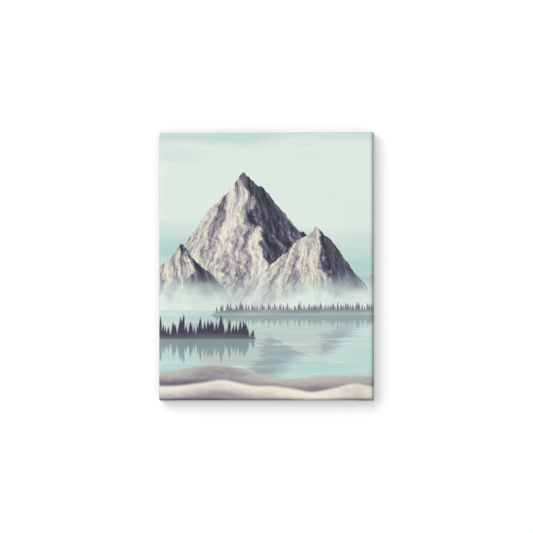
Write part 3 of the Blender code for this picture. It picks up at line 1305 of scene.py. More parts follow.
@dataclass
class CanvasWrap:
    """The cloth: face, rounded edges, sides, folded corners and the flap on the back of the bars.

    A place on it is given by a side of the frame, the distance along that side from its middle,
    and the length of cloth run since the flat face ended.
    """

    frame: BarFrame
    staples: StaplePlan
    bead: float = 0.006  # radius of the bars' front edge
    arris: float = 0.0008  # radius of their back edge
    gap: float = 0.0003
    cloth: float = 0.0005  # its thickness
    flap: float = 0.026
    bleed: float = 0.0085  # printed cloth on the flap
    fold: float = 0.0006  # height of a folded corner over the plain cloth
    fold_width: float = 0.0329
    fold_round: float = 0.0009  # width of its rounded edge
    fold_steps: tuple[float, ...] = (0.0, 0.05, 0.18, 0.42, 0.7, 1.0)  # shares of that width
    fold_reach: float = 0.004  # how far beside a fold the faces are cut
    fold_pull: float = 0.012  # how far from the corner the side cloth follows a fold
    corner: float = 0.001  # radius of the upright corners
    corner_growth: float = 1.5  # how fast it grows round the front edge
    tension: float = 0.00022  # height of the pulls and the slack on the face
    pull_edge: float = 0.05  # how far in from the edges the pulls are held down
    pull_reach: float = 0.11  # how far from a corner they run
    pull_pace: float = 95.0  # their closeness, in radians per metre
    dimple: float = 0.00022  # depth of the flap under a staple
    dimple_half: tuple[float, float] = (0.0068, 0.0022)  # half its length and its width
    curl: float = 0.0007  # height of the cut edge between the staples
    curl_clear: tuple[float, float] = (0.008, 0.030)  # where it starts, from a staple, and is full
    curl_pace: float = 210.0  # closeness of its waves, in radians per metre
    curl_least: float = 0.35  # height of its troughs, as a share
    edge_clear: float = 0.002  # how far short of the mitres a cut edge is followed
    tuck: float = 0.015  # how far in from the cut edge the hidden layers are made
    tuck_clear: tuple[float, float] = (0.0012, 0.0008)  # from the fold's edge and from the mitre
    tuck_grid: tuple[int, int] = (6, 4)
    tuck_layers: tuple[TuckedLayer, ...] = (
        TuckedLayer(0.0, 0.0004, False),
        TuckedLayer(0.00048, -0.0005, True),
    )
    sharp_from: float = math.radians(38)
    weld: float = 2e-5
    sliver: float = 1e-6
    columns: int = 104
    rows: int = 130
    bead_rows: int = 10
    side_rows: int = 12
    heel_rows: int = 4
    flap_rows: tuple[float, ...] = (
        0.0012, 0.0035, 0.0065, 0.0095, 0.0113, 0.0124, 0.0132,
        0.0140, 0.0150, 0.0170, 0.0195, 0.0220, 0.0242,
    )  # fmt: skip

    def __post_init__(self) -> None:
        """Works out the lengths of cloth in the section."""
        self.lay = self.gap + self.cloth
        self.first = (self.bead + self.lay) * math.pi / 2
        self.side = self.frame.back - self.arris - self.frame.front - self.bead
        self.last = (self.arris + self.lay) * math.pi / 2
        self.flat = self.flap - self.arris
        self.reach = self.first + self.side + self.last + self.flat
        self.slope = self.fold_width / (self.side + self.last)

    @property
    def face(self) -> tuple[float, float]:
        """Half the width and half the height of the flat face."""
        return self.frame.half_width - self.bead, self.frame.half_height - self.bead

    @property
    def cut_size(self) -> tuple[float, float]:
        """Width and length of the sheet before it was stretched."""
        width, height = self.face
        return 2 * (width + self.reach), 2 * (height + self.reach)

    @property
    def printed(self) -> float:
        """Length of cloth from the face to the end of the ink."""
        return self.first + self.side + self.last + self.bleed

    def halves(self, edge: Edge) -> tuple[float, float]:
        """Half the frame's length along a side, and half its length across."""
        width, height = self.frame.half_width, self.frame.half_height
        return (width, height) if edge.level else (height, width)

    def section(self, run: float) -> tuple[float, float, float, float]:
        """Follows the cloth over the rounded edge, along the side and onto the back.

        Args:
            run: Length of cloth since the face ended.

        Returns:
            How far out of the frame's side it is, its y, and its normal's two parts.
        """
        turn, heel = self.bead + self.lay, self.arris + self.lay
        front, back = self.frame.front + self.bead, self.frame.back - self.arris
        if run <= self.first:
            angle = run / turn
            lean, face = math.sin(angle), math.cos(angle)
            return -self.bead + turn * lean, front - turn * face, lean, -face
        run -= self.first
        if run <= self.side:
            return self.lay, front + run, 1.0, 0.0
        run -= self.side
        if run <= self.last:
            angle = run / heel
            lean, face = math.cos(angle), math.sin(angle)
            return -self.arris + heel * lean, back + heel * face, lean, face
        return -self.arris - (run - self.last), self.frame.back + self.lay, 0.0, 1.0

    def closing(self, run: float) -> float:
        """Goes from 0 on the side to 1 on the flap, where the corner is a mitre."""
        return smooth(run, self.first + self.side, self.first + self.side + self.last)

    def inside_fold(self, edge: Edge, along: float, run: float) -> float:
        """Measures how far inside a folded corner's edge a point is.

        Args:
            edge: The side of the frame.
            along: Distance along the side, from its middle.
            run: Length of cloth since the face ended.

        Returns:
            The distance, which is below 0 outside the fold.
        """
        from_corner = self.halves(edge)[0] + self.lay - abs(along)
        slant = (self.slope * (run - self.first) - from_corner) / math.hypot(1.0, self.slope)
        return min(slant, self.fold_width - from_corner)

    def bulge(self, inside: float) -> float:
        """Share of the fold's height at a distance inside its edge, round as folded cloth is."""
        share = min(max(inside / self.fold_round, 0.0), 1.0)
        return math.sqrt(1.0 - (1.0 - share) ** 2)

    def lift(self, edge: Edge, along: float, run: float) -> float:
        """Finds the height of the fold over the plain cloth.

        Args:
            edge: The top or the bottom side.
            along: Distance along the side, from its middle.
            run: Length of cloth since the face ended.

        Returns:
            The height.
        """
        reach = self.halves(edge)[0] + self.section(run)[0]
        from_mitre = (reach - abs(along)) / math.sqrt(2)
        kept = 1.0 - self.closing(run) * (1.0 - self.bulge(from_mitre))
        return self.fold * kept * self.bulge(self.inside_fold(edge, along, run))

    def corner_lift(self, run: float) -> float:
        """Height of the fold right at the corner, which the side cloth follows."""
        inside = self.slope * (run - self.first) / math.hypot(1.0, self.slope)
        return self.fold * (1.0 - self.closing(run)) * self.bulge(inside)

    def corner_radius(self, run: float) -> float:
        """Radius of the upright corner: none at the face and none in the flap's mitre."""
        grown = min(self.corner_growth * run / self.first, 1.0)
        return self.corner * grown * (1.0 - self.closing(run))

    def flap_relief(self, edge: Edge, along: float, run: float) -> float:
        """Presses the flap under the staples and lets its cut edge stand up between them.

        Args:
            edge: The side of the frame.
            along: Distance along the side, from its middle.
            run: Length of cloth since the face ended.

        Returns:
            Height over the plain flap.
        """
        inwards = self.arris + run - self.first - self.side - self.last
        if inwards <= self.arris:
            return 0.0
        marks = self.staples.row(edge)
        line = self.staples.from_edge + self.lay
        half_long, half_wide = self.dimple_half
        across = (inwards - line) / half_wide
        pressed = sum(math.exp(-(((along - m) / half_long) ** 4) - across**2) for m in marks)
        nearest = min(abs(along - m) for m in marks)
        loose = smooth(nearest, *self.curl_clear) * smooth(inwards, line, self.flap)
        start = edge.way * 1.7 + edge.level * 0.9  # keeps the four sides from waving alike
        wave = 0.5 + 0.5 * math.sin(along * self.curl_pace + start)
        risen = self.curl_least + (1.0 - self.curl_least) * wave
        return self.curl * loose * risen - self.dimple * min(pressed, 1.0)

    def spot(self, edge: Edge, along: float, run: float) -> Vector:
        """Places a point of the wrap.

        Args:
            edge: The side of the frame.
            along: Distance along the side, from its middle.
            run: Length of cloth since the face ended.

        Returns:
            The point, on the cloth's outer surface.
        """
        half_along, half_across = self.halves(edge)
        out, y, lean, face = self.section(run)
        reach = half_along + out
        way = math.copysign(1.0, along)
        across, near = half_across + out, reach - abs(along)
        distance = abs(along)
        if edge.level:
            height = self.lift(edge, along, run)
        else:
            height = 0.0
            pull = self.corner_lift(run) * (1.0 - smooth(near, 0.0, self.fold_pull))
            distance += lean * pull
            reach += lean * pull
            y += face * pull
        height += self.flap_relief(edge, along, run) * self.closing(run)
        across += lean * height
        y += face * height
        radius = self.corner_radius(run)
        if radius > 0.0 and near < radius:
            angle = math.radians(45.0) * (1.0 - near / radius)
            distance = reach - radius + radius * math.sin(angle)
            across += radius * (math.cos(angle) - 1.0)
        middle = self.frame.middle
        if edge.level:
            return Vector((way * distance, y, middle + edge.way * across))
        return Vector((edge.way * across, y, middle + way * distance))

    def on_cloth(self, edge: Edge, along: float, run: float, folded: bool) -> tuple[float, float]:
        """Finds where a point was on the flat sheet.

        Args:
            edge: The side of the frame.
            along: Distance along the side, from its middle.
            run: Length of cloth since the face ended.
            folded: Whether it is on a folded corner, whose cloth comes from the next side.

        Returns:
            Its place on the sheet, from the middle of the picture.
        """
        half_along, half_across = self.halves(edge)
        way = math.copysign(1.0, along)
        if folded:
            from_corner = half_along + self.lay - abs(along)
            level = way * (half_along - self.bead + run)
            up = edge.way * (half_across - self.bead + self.first + from_corner)
        else:
            grown = half_along - self.bead + min(run, self.first)
            level = along * grown / (half_along + self.section(min(run, self.first))[0])
            up = edge.way * (half_across - self.bead + run)
        return (level, up) if edge.level else (up, level)

    def runs(self) -> list[float]:
        """Lists the rows of points along the section, some of them where the folds start.

        Returns:
            Length of cloth since the face ended, for each row.
        """
        first, side, last = self.first, self.side, self.last
        marks = [first * i / self.bead_rows for i in range(self.bead_rows)]
        grow = self.fold_round * math.hypot(1.0, self.slope) / self.slope
        marks += [first + grow * share for share in self.fold_steps]
        marks += [first + side * i / self.side_rows for i in range(1, self.side_rows)]
        marks += [first + side + last * i / self.heel_rows for i in range(self.heel_rows)]
        start = first + side + last
        return marks + [start] + [start + mark for mark in self.flap_rows] + [self.reach]

    def alongs(self, edge: Edge, run: float) -> list[float]:
        """Lists the places of the points in one row, closer together at the corners.

        Args:
            edge: The side of the frame.
            run: Length of cloth since the face ended.

        Returns:
            Distances along the side, from its middle.
        """
        count = self.columns if edge.level else self.rows
        reach = self.halves(edge)[0] + self.section(run)[0]
        radius = self.corner_radius(run)
        inner = reach - radius
        even = [inner * (2 * i / count - 1) for i in range(count + 1)]
        return [-reach, -reach + radius / 2, *even, reach - radius / 2, reach]

    def strip(self, edge: Edge, mesh: BMesh) -> None:
        """Adds the wrap of one side, cut along its folds first.

        Args:
            edge: The side of the frame.
            mesh: The mesh that it is added to.
        """
        flat = bmesh.new()
        places = [[(along, run, 0.0) for along in self.alongs(edge, run)] for run in self.runs()]
        sheet(flat, places)
        if edge.level:
            self.crease(edge, flat)
        cloth = flat.loops.layers.uv.new(CLOTH_MAP)
        for face in flat.faces:
            along, run, _ = face.calc_center_median()
            folded = edge.level and self.inside_fold(edge, along, run) > 0.0
            for corner in face.loops:
                corner[cloth].uv = self.on_cloth(edge, *corner.vert.co.xy, folded)
        for vert in flat.verts:
            vert.co = self.spot(edge, *vert.co.xy)
        self.merge(flat, mesh)

    def crease(self, edge: Edge, flat: BMesh) -> None:
        """Cuts rows of edges along the folds, so that they turn crisply.

        Args:
            edge: The top or the bottom side.
            flat: Its strip of cloth, laid flat.
        """
        corner = self.halves(edge)[0] + self.lay
        heel = self.first + self.side + self.last
        mitre = self.halves(edge)[0] - self.arris + heel
        for way in (-1, 1):
            lines = []
            for share in self.fold_steps:
                step = self.fold_round * share
                slant = corner + self.slope * self.first + step * math.hypot(1.0, self.slope)
                upright = way * (corner - self.fold_width + step)
                lines.append(((0.0, slant / self.slope), (way, self.slope), self.first))
                lines.append(((upright, 0.0), (way, 0.0), self.first))
                if share:
                    lines.append(((0.0, mitre - step * math.sqrt(2)), (way, 1.0), heel))
            for point, normal, start in lines:
                near = [f for f in flat.faces if self.by_fold(f, way, corner, start)]
                edges = {e for f in near for e in f.edges}
                verts = {v for f in near for v in f.verts}
                bmesh.ops.bisect_plane(
                    flat,
                    geom=[*near, *edges, *verts],
                    plane_co=(*point, 0.0),
                    plane_no=(*normal, 0.0),
                    dist=self.sliver,
                )

    def by_fold(self, face: BMFace, way: int, corner: float, start: float) -> bool:
        """Tells whether a face of the flat strip is near a folded corner, past a length of run."""
        along, run, _ = face.calc_center_median()
        return way * along > corner - self.fold_width - self.fold_reach and run > start

    @staticmethod
    def merge(part: BMesh, mesh: BMesh) -> None:
        """Adds one mesh to another and uses it up.

        Args:
            part: The mesh that is used up.
            mesh: The mesh that it is added to.
        """
        data = bpy.data.meshes.new("part")
        part.to_mesh(data)
        part.free()
        mesh.from_mesh(data)
        bpy.data.meshes.remove(data)

    def drum(self, x: float, z: float) -> float:
        """Works out the face's relief: faint pulls from the corners and a slack middle.

        Args:
            x: Place across the face, from its middle.
            z: Place up the face, from its middle.

        Returns:
            How far back the cloth is.
        """
        half_x, half_z = self.face
        u, v = x / half_x, z / half_z
        side, end = half_x - abs(x), half_z - abs(z)
        edge = smooth(min(side, end), 0.0, self.pull_edge)
        fading = math.exp(-((math.hypot(side, end) / self.pull_reach) ** 2))
        pull = math.cos((side - end) * self.pull_pace) * fading
        slack = (1 - u * u) * (1 - v * v)
        return self.tension * (edge * pull + slack)

    def front(self, mesh: BMesh) -> None:
        """Adds the flat face.

        Args:
            mesh: The mesh that it is added to.
        """
        flat = bmesh.new()
        half_x, half_z = self.face
        xs = [half_x * (2 * i / self.columns - 1) for i in range(self.columns + 1)]
        zs = [half_z * (2 * i / self.rows - 1) for i in range(self.rows + 1)]
        sheet(flat, [[(x, 0.0, z) for x in xs] for z in zs])
        cloth = flat.loops.layers.uv.new(CLOTH_MAP)
        for face in flat.faces:
            for corner in face.loops:
                corner[cloth].uv = corner.vert.co.xz
        for vert in flat.verts:
            x, _, z = vert.co
            vert.co = (x, self.frame.front - self.lay + self.drum(x, z), self.frame.middle + z)
        self.merge(flat, mesh)

    def tucked_places(
        self, edge: Edge, way: int, layer: TuckedLayer
    ) -> list[list[tuple[float, float]]]:
        """Lists the points of one layer under a fold, as rows of (along, run).

        Args:
            edge: The top or the bottom side.
            way: Which end of it.
            layer: The layer.

        Returns:
            The rows, from the hidden part to the cut edge.
        """
        runs, columns = self.tuck_grid
        half = self.halves(edge)[0]
        start, heel = self.reach - self.tuck, self.first + self.side + self.last
        inner = half + self.lay - self.fold_width + self.tuck_clear[0]
        rows = []
        for i in range(runs + 1):
            run = start + (self.reach + layer.longer - start) * i / runs
            outer = half - self.arris - (run - heel) - self.tuck_clear[1]
            xs = [inner + (outer - inner) * j / columns for j in range(columns + 1)]
            rows.append([(way * x, run) for x in xs])
        return rows

    def tucked(self, mesh: BMesh) -> None:
        """Adds the two layers that lie under each folded corner, seen at the flap's cut edge.

        Args:
            mesh: The mesh that they are added to.
        """
        flat = bmesh.new()
        cloth = flat.loops.layers.uv.new(CLOTH_MAP)
        for edge, way in itertools.product((Edge.TOP, Edge.BOTTOM), (-1, 1)):
            for layer in self.tuck_layers:
                grid = self.tucked_places(edge, way, layer)
                points = []
                for along, run in itertools.chain(*grid):
                    at = self.spot(edge, along, min(run, self.reach))
                    at.y += layer.height - self.lift(edge, along, min(run, self.reach))
                    at.z -= edge.way * max(run - self.reach, 0.0)
                    points.append(at)
                columns = len(grid[0])
                rows = [points[i : i + columns] for i in range(0, len(points), columns)]
                for face, keys in zip(sheet(flat, rows), sheet_corners(grid)):
                    for key, loop in zip(keys, face.loops):
                        loop[cloth].uv = self.hidden_place(edge, *key, layer.folded)
        bmesh.ops.recalc_face_normals(flat, faces=flat.faces)
        for face in flat.faces:
            if face.normal.y < 0:
                face.normal_flip()
        self.merge(flat, mesh)

    def hidden_place(
        self, edge: Edge, along: float, run: float, folded: bool
    ) -> tuple[float, float]:
        """Finds where a point under a fold was on the flat sheet.

        Args:
            edge: The top or the bottom side.
            along: Distance along the side, from its middle.
            run: Length of cloth since the face ended.
            folded: Whether its cloth comes from the next side.

        Returns:
            Its place on the sheet, from the middle of the picture.
        """
        if not folded:
            return self.on_cloth(edge, along, run, False)
        half_along, half_across = self.halves(edge)
        from_corner = half_along + self.lay - abs(along)
        level = math.copysign(half_along - self.bead + self.first + from_corner, along)
        return level, edge.way * (half_across - self.bead + run)

    def lay_out_bake_map(self, data: bpy.types.Mesh) -> None:
        """Fills the second UV map, where each face has a place of its own.

        The printed side lies on the left as on the flat sheet, the inner side is smaller at the
        lower right, and the faces of the cut edges stand in lanes over it.

        Args:
            data: The cloth's mesh.
        """
        width, length = self.cut_size
        data.uv_layers.new(name=BAKE_MAP)
        cloth, bake = (data.uv_layers[name].data for name in (CLOTH_MAP, BAKE_MAP))
        right, top, margin, gap, lanes = 0.995, 0.99, 0.003, 0.008, 6
        large = top / length
        column = large * width + gap
        small = (right - column) / width
        rims = [face for face in data.polygons if face.material_index == Side.RIM]
        lane = (right - column) / lanes
        step = (top - small * length) / math.ceil(len(rims) / lanes)
        for face in data.polygons:
            outer = face.material_index == Side.OUTER
            scale, shift = (large, margin) if outer else (small, column)
            for loop in face.loop_indices:
                u, v = cloth[loop].uv
                bake[loop].uv = ((u + width / 2) * scale + shift, (v + length / 2) * scale + margin)
        corners = ((0.1, 0.1), (0.9, 0.1), (0.9, 0.9), (0.1, 0.9))
        for number, face in enumerate(rims):
            left = column + (number % lanes) * lane
            low = small * length + 2 * margin + (number // lanes) * step
            for loop, (across, up) in zip(face.loop_indices, corners):
                bake[loop].uv = (left + across * lane, low + up * step)

    def build(self, printed: Material, raw: Material) -> Object:
        """Makes the cloth.

        Args:
            printed: The finish of its outer side.
            raw: The finish of its inner side and cut edges.

        Returns:
            The cloth, with its thickness.
        """
        mesh = bmesh.new()
        self.front(mesh)
        for edge in Edge:
            self.strip(edge, mesh)
        bmesh.ops.remove_doubles(mesh, verts=mesh.verts, dist=self.weld)
        bmesh.ops.dissolve_degenerate(mesh, dist=self.sliver, edges=mesh.edges)
        bmesh.ops.recalc_face_normals(mesh, faces=mesh.faces)
        front = min(mesh.faces, key=lambda face: face.calc_center_median().y)
        if front.normal.y > 0:
            bmesh.ops.reverse_faces(mesh, faces=mesh.faces)
        self.tucked(mesh)
        cloth = piece("canvas_wrap", mesh, (printed, raw, raw))
        thickness = cloth.modifiers.new("thickness", "SOLIDIFY")
        thickness.thickness = self.cloth
        thickness.offset = -1.0
        thickness.use_even_offset = False
        thickness.material_offset = Side.INNER
        thickness.material_offset_rim = Side.RIM
        settled(cloth)
        cloth.data.set_sharp_from_angle(angle=self.sharp_from)
        self.lay_out_bake_map(cloth.data)
        return cloth

    def cut_edges(self) -> list[list[Vector]]:
        """Follows the flap's four cut edges, each one the same way round.

        Returns:
            The points of each edge.
        """
        paths = []
        for edge in Edge:
            end = self.halves(edge)[0] - self.flap - self.edge_clear
            marks = [along for along in self.alongs(edge, self.reach) if abs(along) < end]
            marks.sort(reverse=(edge in (Edge.TOP, Edge.LEFT)))
            paths.append([self.spot(edge, along, self.reach) for along in marks])
        return paths


# --- Bars, staples, loose threads, hanger, nails and pads ---


@dataclass
class StretcherBars:
    """The four packed bars, whose shapes are kept and only get their wood."""

    end_bars: tuple[str, ...] = ("bar_top", "bar_bottom")
    side_bars: tuple[str, ...] = ("bar_left", "bar_right")

    def dress(self, nodes: dict[str, Object]) -> list[Object]:
        """Puts pine on the bars, with the grain along each one.

        Args:
            nodes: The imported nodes, by name.

        Returns:
            The bars.
        """
        dressed = []
        for names, grain in ((self.end_bars, Grain.ACROSS), (self.side_bars, Grain.UPRIGHT)):
            wood = Pine(grain).make()
            for name in names:
                for slot in nodes[name].material_slots:
                    slot.material = wood
                dressed.append(nodes[name])
        return dressed


@dataclass
class StapleRows:
    """Flat-wire staples, driven a little askew, through the flap into the bars."""

    frame: BarFrame
    plan: StaplePlan
    seat: float  # y of the cloth on the back
    fold: float
    crown: float = 0.0106
    leg: float = 0.008
    wire_thick: float = 0.0006
    wire_wide: float = 0.0012
    arris: float = 0.00012  # width of its broken edges
    bend: float = 0.0010
    bend_steps: int = 5
    tip: float = 1.6  # how much shorter a leg is on its inner side, in thicknesses of wire
    askew: float = math.radians(1.6)
    seed: int = 4

    def one(self) -> Object:
        """Makes one staple: its crown along X on the plane y = 0, its legs towards -Y.

        Returns:
            The staple.
        """
        half, thick, bend = self.crown / 2, self.wire_thick, self.bend
        turns = [math.pi / 2 * i / self.bend_steps for i in range(self.bend_steps + 1)]
        bend_x, bend_y = half - bend, thick - bend

        def side(radius: float) -> list[tuple[float, float]]:
            """Goes round the right-hand bend at one radius, from the crown to the leg."""
            return [(bend_x + radius * math.sin(t), bend_y + radius * math.cos(t)) for t in turns]

        outer = side(bend) + [(half, thick - self.leg)]
        inner = side(bend - thick) + [(half - thick, thick - self.leg + thick * self.tip)]
        sections = list(zip(outer, inner))
        sections = [tuple((-x, y) for x, y in pair) for pair in reversed(sections)] + sections
        mesh = bmesh.new()
        w = self.wire_wide / 2
        loft(mesh, [[(*out, -w), (*out, w), (*inn, w), (*inn, -w)] for out, inn in sections])
        return softened(piece("one_staple", mesh, ()), self.arris, segments=2, angle=40.0)

    def places(self) -> list[tuple[Vector, float]]:
        """Finds where the staples go.

        Returns:
            Each staple's place and its turn about Y.
        """
        frame, plan = self.frame, self.plan
        found = []
        for edge in Edge:
            for mark in plan.row(edge):
                if edge.level:
                    outer = frame.top if edge.way > 0 else frame.bottom
                    x, z, turn = mark, outer - edge.way * plan.from_edge, 0.0
                else:
                    x, z = edge.way * (frame.half_width - plan.from_edge), frame.middle + mark
                    turn = math.pi / 2
                found.append((Vector((x, self.seat, z)), turn))
        for way in (-1, 1):
            for outer, up in ((frame.top, 1), (frame.bottom, -1)):
                x, z = way * (frame.half_width - plan.corner_along), outer - up * plan.corner_in
                found.append((Vector((x, self.seat + self.fold, z)), 0.0))
        return found

    def build(self, wire: Material) -> Object:
        """Sets a staple at each place.

        Args:
            wire: Their finish.

        Returns:
            All the staples, as one piece.
        """
        data = bpy.data.meshes.new("staples")
        places = self.places()
        data.from_pydata([at for at, _ in places], [], [])
        turn = data.attributes.new("turn", "FLOAT_VECTOR", "POINT")
        turn.data.foreach_set("vector", [part for _, angle in places for part in (0.0, angle, 0.0)])
        host = placed("staples", data)

        rows = Pattern("staple rows")
        shape, askew = rows.size("Staple", "Object"), rows.size("Askew", "Float")
        seed, finish = rows.size("Seed", "Int"), rows.size("Finish", "Material")
        least = rows.node("ShaderNodeMath", {0: askew, 1: -1.0}, operation="MULTIPLY")
        feeds = {2: least.outputs[0], 3: askew, "Seed": seed}
        nudge = rows.node("FunctionNodeRandomValue", feeds, data_type="FLOAT")
        spin = rows.node("ShaderNodeCombineXYZ", {"Y": nudge.outputs[1]})
        feeds = {"Name": turn.name}
        base = rows.node("GeometryNodeInputNamedAttribute", feeds, data_type="FLOAT_VECTOR")
        feeds = {0: base.outputs[0], 1: spin.outputs[0]}
        total = rows.node("ShaderNodeVectorMath", feeds, operation="ADD")
        angle = rows.node("FunctionNodeEulerToRotation", {0: total.outputs[0]})
        staple = rows.node("GeometryNodeObjectInfo", {"Object": shape, "As Instance": True})
        feeds = {
            "Points": rows.path,
            "Instance": staple.outputs["Geometry"],
            "Rotation": angle.outputs[0],
        }
        set_out = rows.node("GeometryNodeInstanceOnPoints", feeds)
        rows.close(set_out.outputs[0], finish)
        return rows.grow(host, Staple=self.one(), Askew=self.askew, Seed=self.seed, Finish=wire)


@dataclass
class LooseEnds:
    """Threads that have worked loose along the flap's cut edge."""

    wrap: CanvasWrap
    spacing: float = 0.0015
    share: float = 0.62  # of the places that have a thread
    length: float = 0.0024
    thickness: float = 0.00011
    taper: float = 0.45  # how much thinner it is at its tip, as a share
    sway: float = 0.18  # sideways bend, as a share of its length
    sway_turn: float = 2.4
    droop: float = 0.00035
    droop_turn: float = 2.2
    sides: int = 5
    steps: int = 6
    lean: tuple[Point, Point] = ((-0.12, -0.95, -0.3), (0.12, 0.95, 0.3))  # least and most
    growth: tuple[Point, Point] = ((0.8, 0.8, 0.15), (1.3, 1.2, 1.5))  # least and most
    seed: int = 11

    def one(self) -> Object:
        """Makes one thread, running along +Z from the cut edge and bending a little.

        Returns:
            The thread.
        """
        mesh = bmesh.new()
        loops = []
        for i in range(self.steps + 1):
            share = i / self.steps
            radius = self.thickness * (1.0 - self.taper * share)
            x = self.length * self.sway * math.sin(share * self.sway_turn)
            y = self.droop * math.sin(share * self.droop_turn) - self.wrap.cloth / 2
            z = self.length * share
            turns = [2 * math.pi * k / self.sides for k in range(self.sides)]
            loops.append([(x + radius * math.cos(t), y + radius * math.sin(t), z) for t in turns])
        loft(mesh, loops)
        return piece("one_thread", mesh, ())

    def build(self, thread: Material) -> Object:
        """Sets threads of many lengths along the cut edge, pointing to the frame's middle.

        Args:
            thread: Their finish.

        Returns:
            All the threads, as one piece.
        """
        points, edges = [], []
        for path in self.wrap.cut_edges():
            start = len(points)
            points += path
            edges += [(start + i, start + i + 1) for i in range(len(path) - 1)]
        data = bpy.data.meshes.new("loose_threads")
        data.from_pydata(points, edges, [])
        host = placed("loose_threads", data)

        fray = Pattern("loose threads")
        shape, spacing = fray.size("Thread", "Object"), fray.size("Spacing", "Float")
        seed, finish = fray.size("Seed", "Int"), fray.size("Finish", "Material")
        feeds = {"Probability": fray.size("Share", "Float"), "Seed": seed}
        kept = fray.node("FunctionNodeRandomValue", feeds, data_type="BOOLEAN")
        curve = fray.node("GeometryNodeMeshToCurve", {"Mesh": fray.path})
        feeds = {"Curve": curve.outputs[0], "Length": spacing}
        even = fray.node("GeometryNodeResampleCurve", feeds, mode="LENGTH")
        tangent = fray.node("GeometryNodeInputTangent")
        feeds = {"Vector": tangent.outputs[0]}
        aim = fray.node("FunctionNodeAlignRotationToVector", feeds, axis="X", pivot_axis="Y")
        feeds = {0: self.lean[0], 1: self.lean[1], "Seed": seed}
        lean = fray.node("FunctionNodeRandomValue", feeds, data_type="FLOAT_VECTOR")
        tilt = fray.node("FunctionNodeEulerToRotation", {0: lean.outputs[0]})
        feeds = {"Rotation": aim.outputs[0], "Rotate By": tilt.outputs[0]}
        angle = fray.node("FunctionNodeRotateRotation", feeds, rotation_space="LOCAL")
        feeds = {0: self.growth[0], 1: self.growth[1], "Seed": seed}
        grown = fray.node("FunctionNodeRandomValue", feeds, data_type="FLOAT_VECTOR")
        thread_in = fray.node("GeometryNodeObjectInfo", {"Object": shape, "As Instance": True})
        feeds = {
            "Points": even.outputs[0],
            "Selection": kept.outputs[3],
            "Instance": thread_in.outputs["Geometry"],
            "Rotation": angle.outputs[0],
            "Scale": grown.outputs[0],
        }
        set_out = fray.node("GeometryNodeInstanceOnPoints", feeds)
        fray.close(set_out.outputs[0], finish)
        return fray.grow(
            host,
            Thread=self.one(),
            Spacing=self.spacing,
            Share=self.share,
            Seed=self.seed,
            Finish=thread,
        )


@dataclass
class SawtoothHanger:
    """A stamped strip with a toothed lower edge, standing off the cloth between its two ends."""

    seat: float
    length: float = 0.046
    height: float = 0.0105
    sheet: float = 0.0008
    arris: float = 0.00014  # width of its broken edges
    stand_off: float = 0.0018
    tab: float = 0.0085  # length of each end, which lies flat
    tab_round: float = 0.0016
    tab_end: float = 0.003  # a section keeps the tab flat this far before the ramp
    ramp: float = 0.002  # from a tab to the raised middle
    teeth: int = 11
    tooth: float = 0.0018
    notch: tuple[float, float] = (0.44, 0.56)  # its flat top, as shares of a tooth's pitch
    notch_top: float = -0.0001
    rib_depth: float = 0.00035
    rib_ends: tuple[float, float] = (0.0035, 0.0015)  # where it fades, before the ramp
    rib: tuple[tuple[float, float], ...] = (  # heights, each with its share of the depth
        (0.0016, 0.0),
        (0.0038, 0.0),
        (0.0044, 0.5),
        (0.0050, 1.0),
        (0.0056, 0.5),
        (0.0062, 0.0),
    )
    steps: int = 6

    def marks(self) -> list[Point]:
        """Lists the places of the sections along the strip.

        Returns:
            For each, its x, the height of its lower edge and how much its ends are cut back.
        """
        half, low, steps = self.length / 2, -self.tooth, self.steps
        rise, crest = half - self.tab, half - self.tab - self.ramp
        ends = []
        for i in range(steps + 1):
            turn = math.pi / 2 * i / steps
            x = -half + self.tab_round * (1 - math.cos(turn))
            ends.append((x, low, (1 - math.sin(turn)) * self.tab_round))
        ends += [(-rise - self.tab_end, low, 0.0), (-rise, low, 0.0)]
        ends += [(-rise + self.ramp * i / steps, low, 0.0) for i in range(1, steps)]
        pitch = 2 * crest / self.teeth
        saw = []
        for i in range(self.teeth):
            start = -crest + i * pitch
            saw.append((start, low, 0.0))
            saw += [(start + pitch * share, self.notch_top, 0.0) for share in self.notch]
        saw.append((crest, low, 0.0))
        return ends + saw + [(-x, z, cut) for x, z, cut in reversed(ends)]

    def lift(self, x: float) -> float:
        """Height of the strip over its seat."""
        rise = self.length / 2 - self.tab
        return self.stand_off * (1.0 - smooth(abs(x), rise - self.ramp, rise))

    def build(self, zinc: Material) -> Object:
        """Makes the strip, with its broken edges and a pressed rib above the teeth.

        Args:
            zinc: Its finish.

        Returns:
            The hanger.
        """
        top = self.height - self.tooth
        ramp = self.length / 2 - self.tab - self.ramp
        fade = [ramp - end for end in self.rib_ends]
        mesh = bmesh.new()
        loops = []
        for x, low, cut in self.marks():
            near = self.seat + self.lift(x)
            far = near + self.sheet
            rib = self.rib_depth * (1.0 - smooth(abs(x), *fade))
            upper, lower = top - cut, low + cut
            levels = [(lower, 0.0), *self.rib, (upper, 0.0)]
            inside = [(near + rib * share, max(z, lower)) for z, share in levels]
            outside = [(far + rib * share, max(z, lower)) for z, share in levels]
            loops.append([(x, y, z) for y, z in inside + outside[::-1]])
        loft(mesh, loops)
        hanger = piece("sawtooth_hanger", mesh, (zinc,))
        hanger.data.set_sharp_from_angle(angle=math.radians(40))
        return softened(hanger, self.arris, segments=2, angle=48.0)


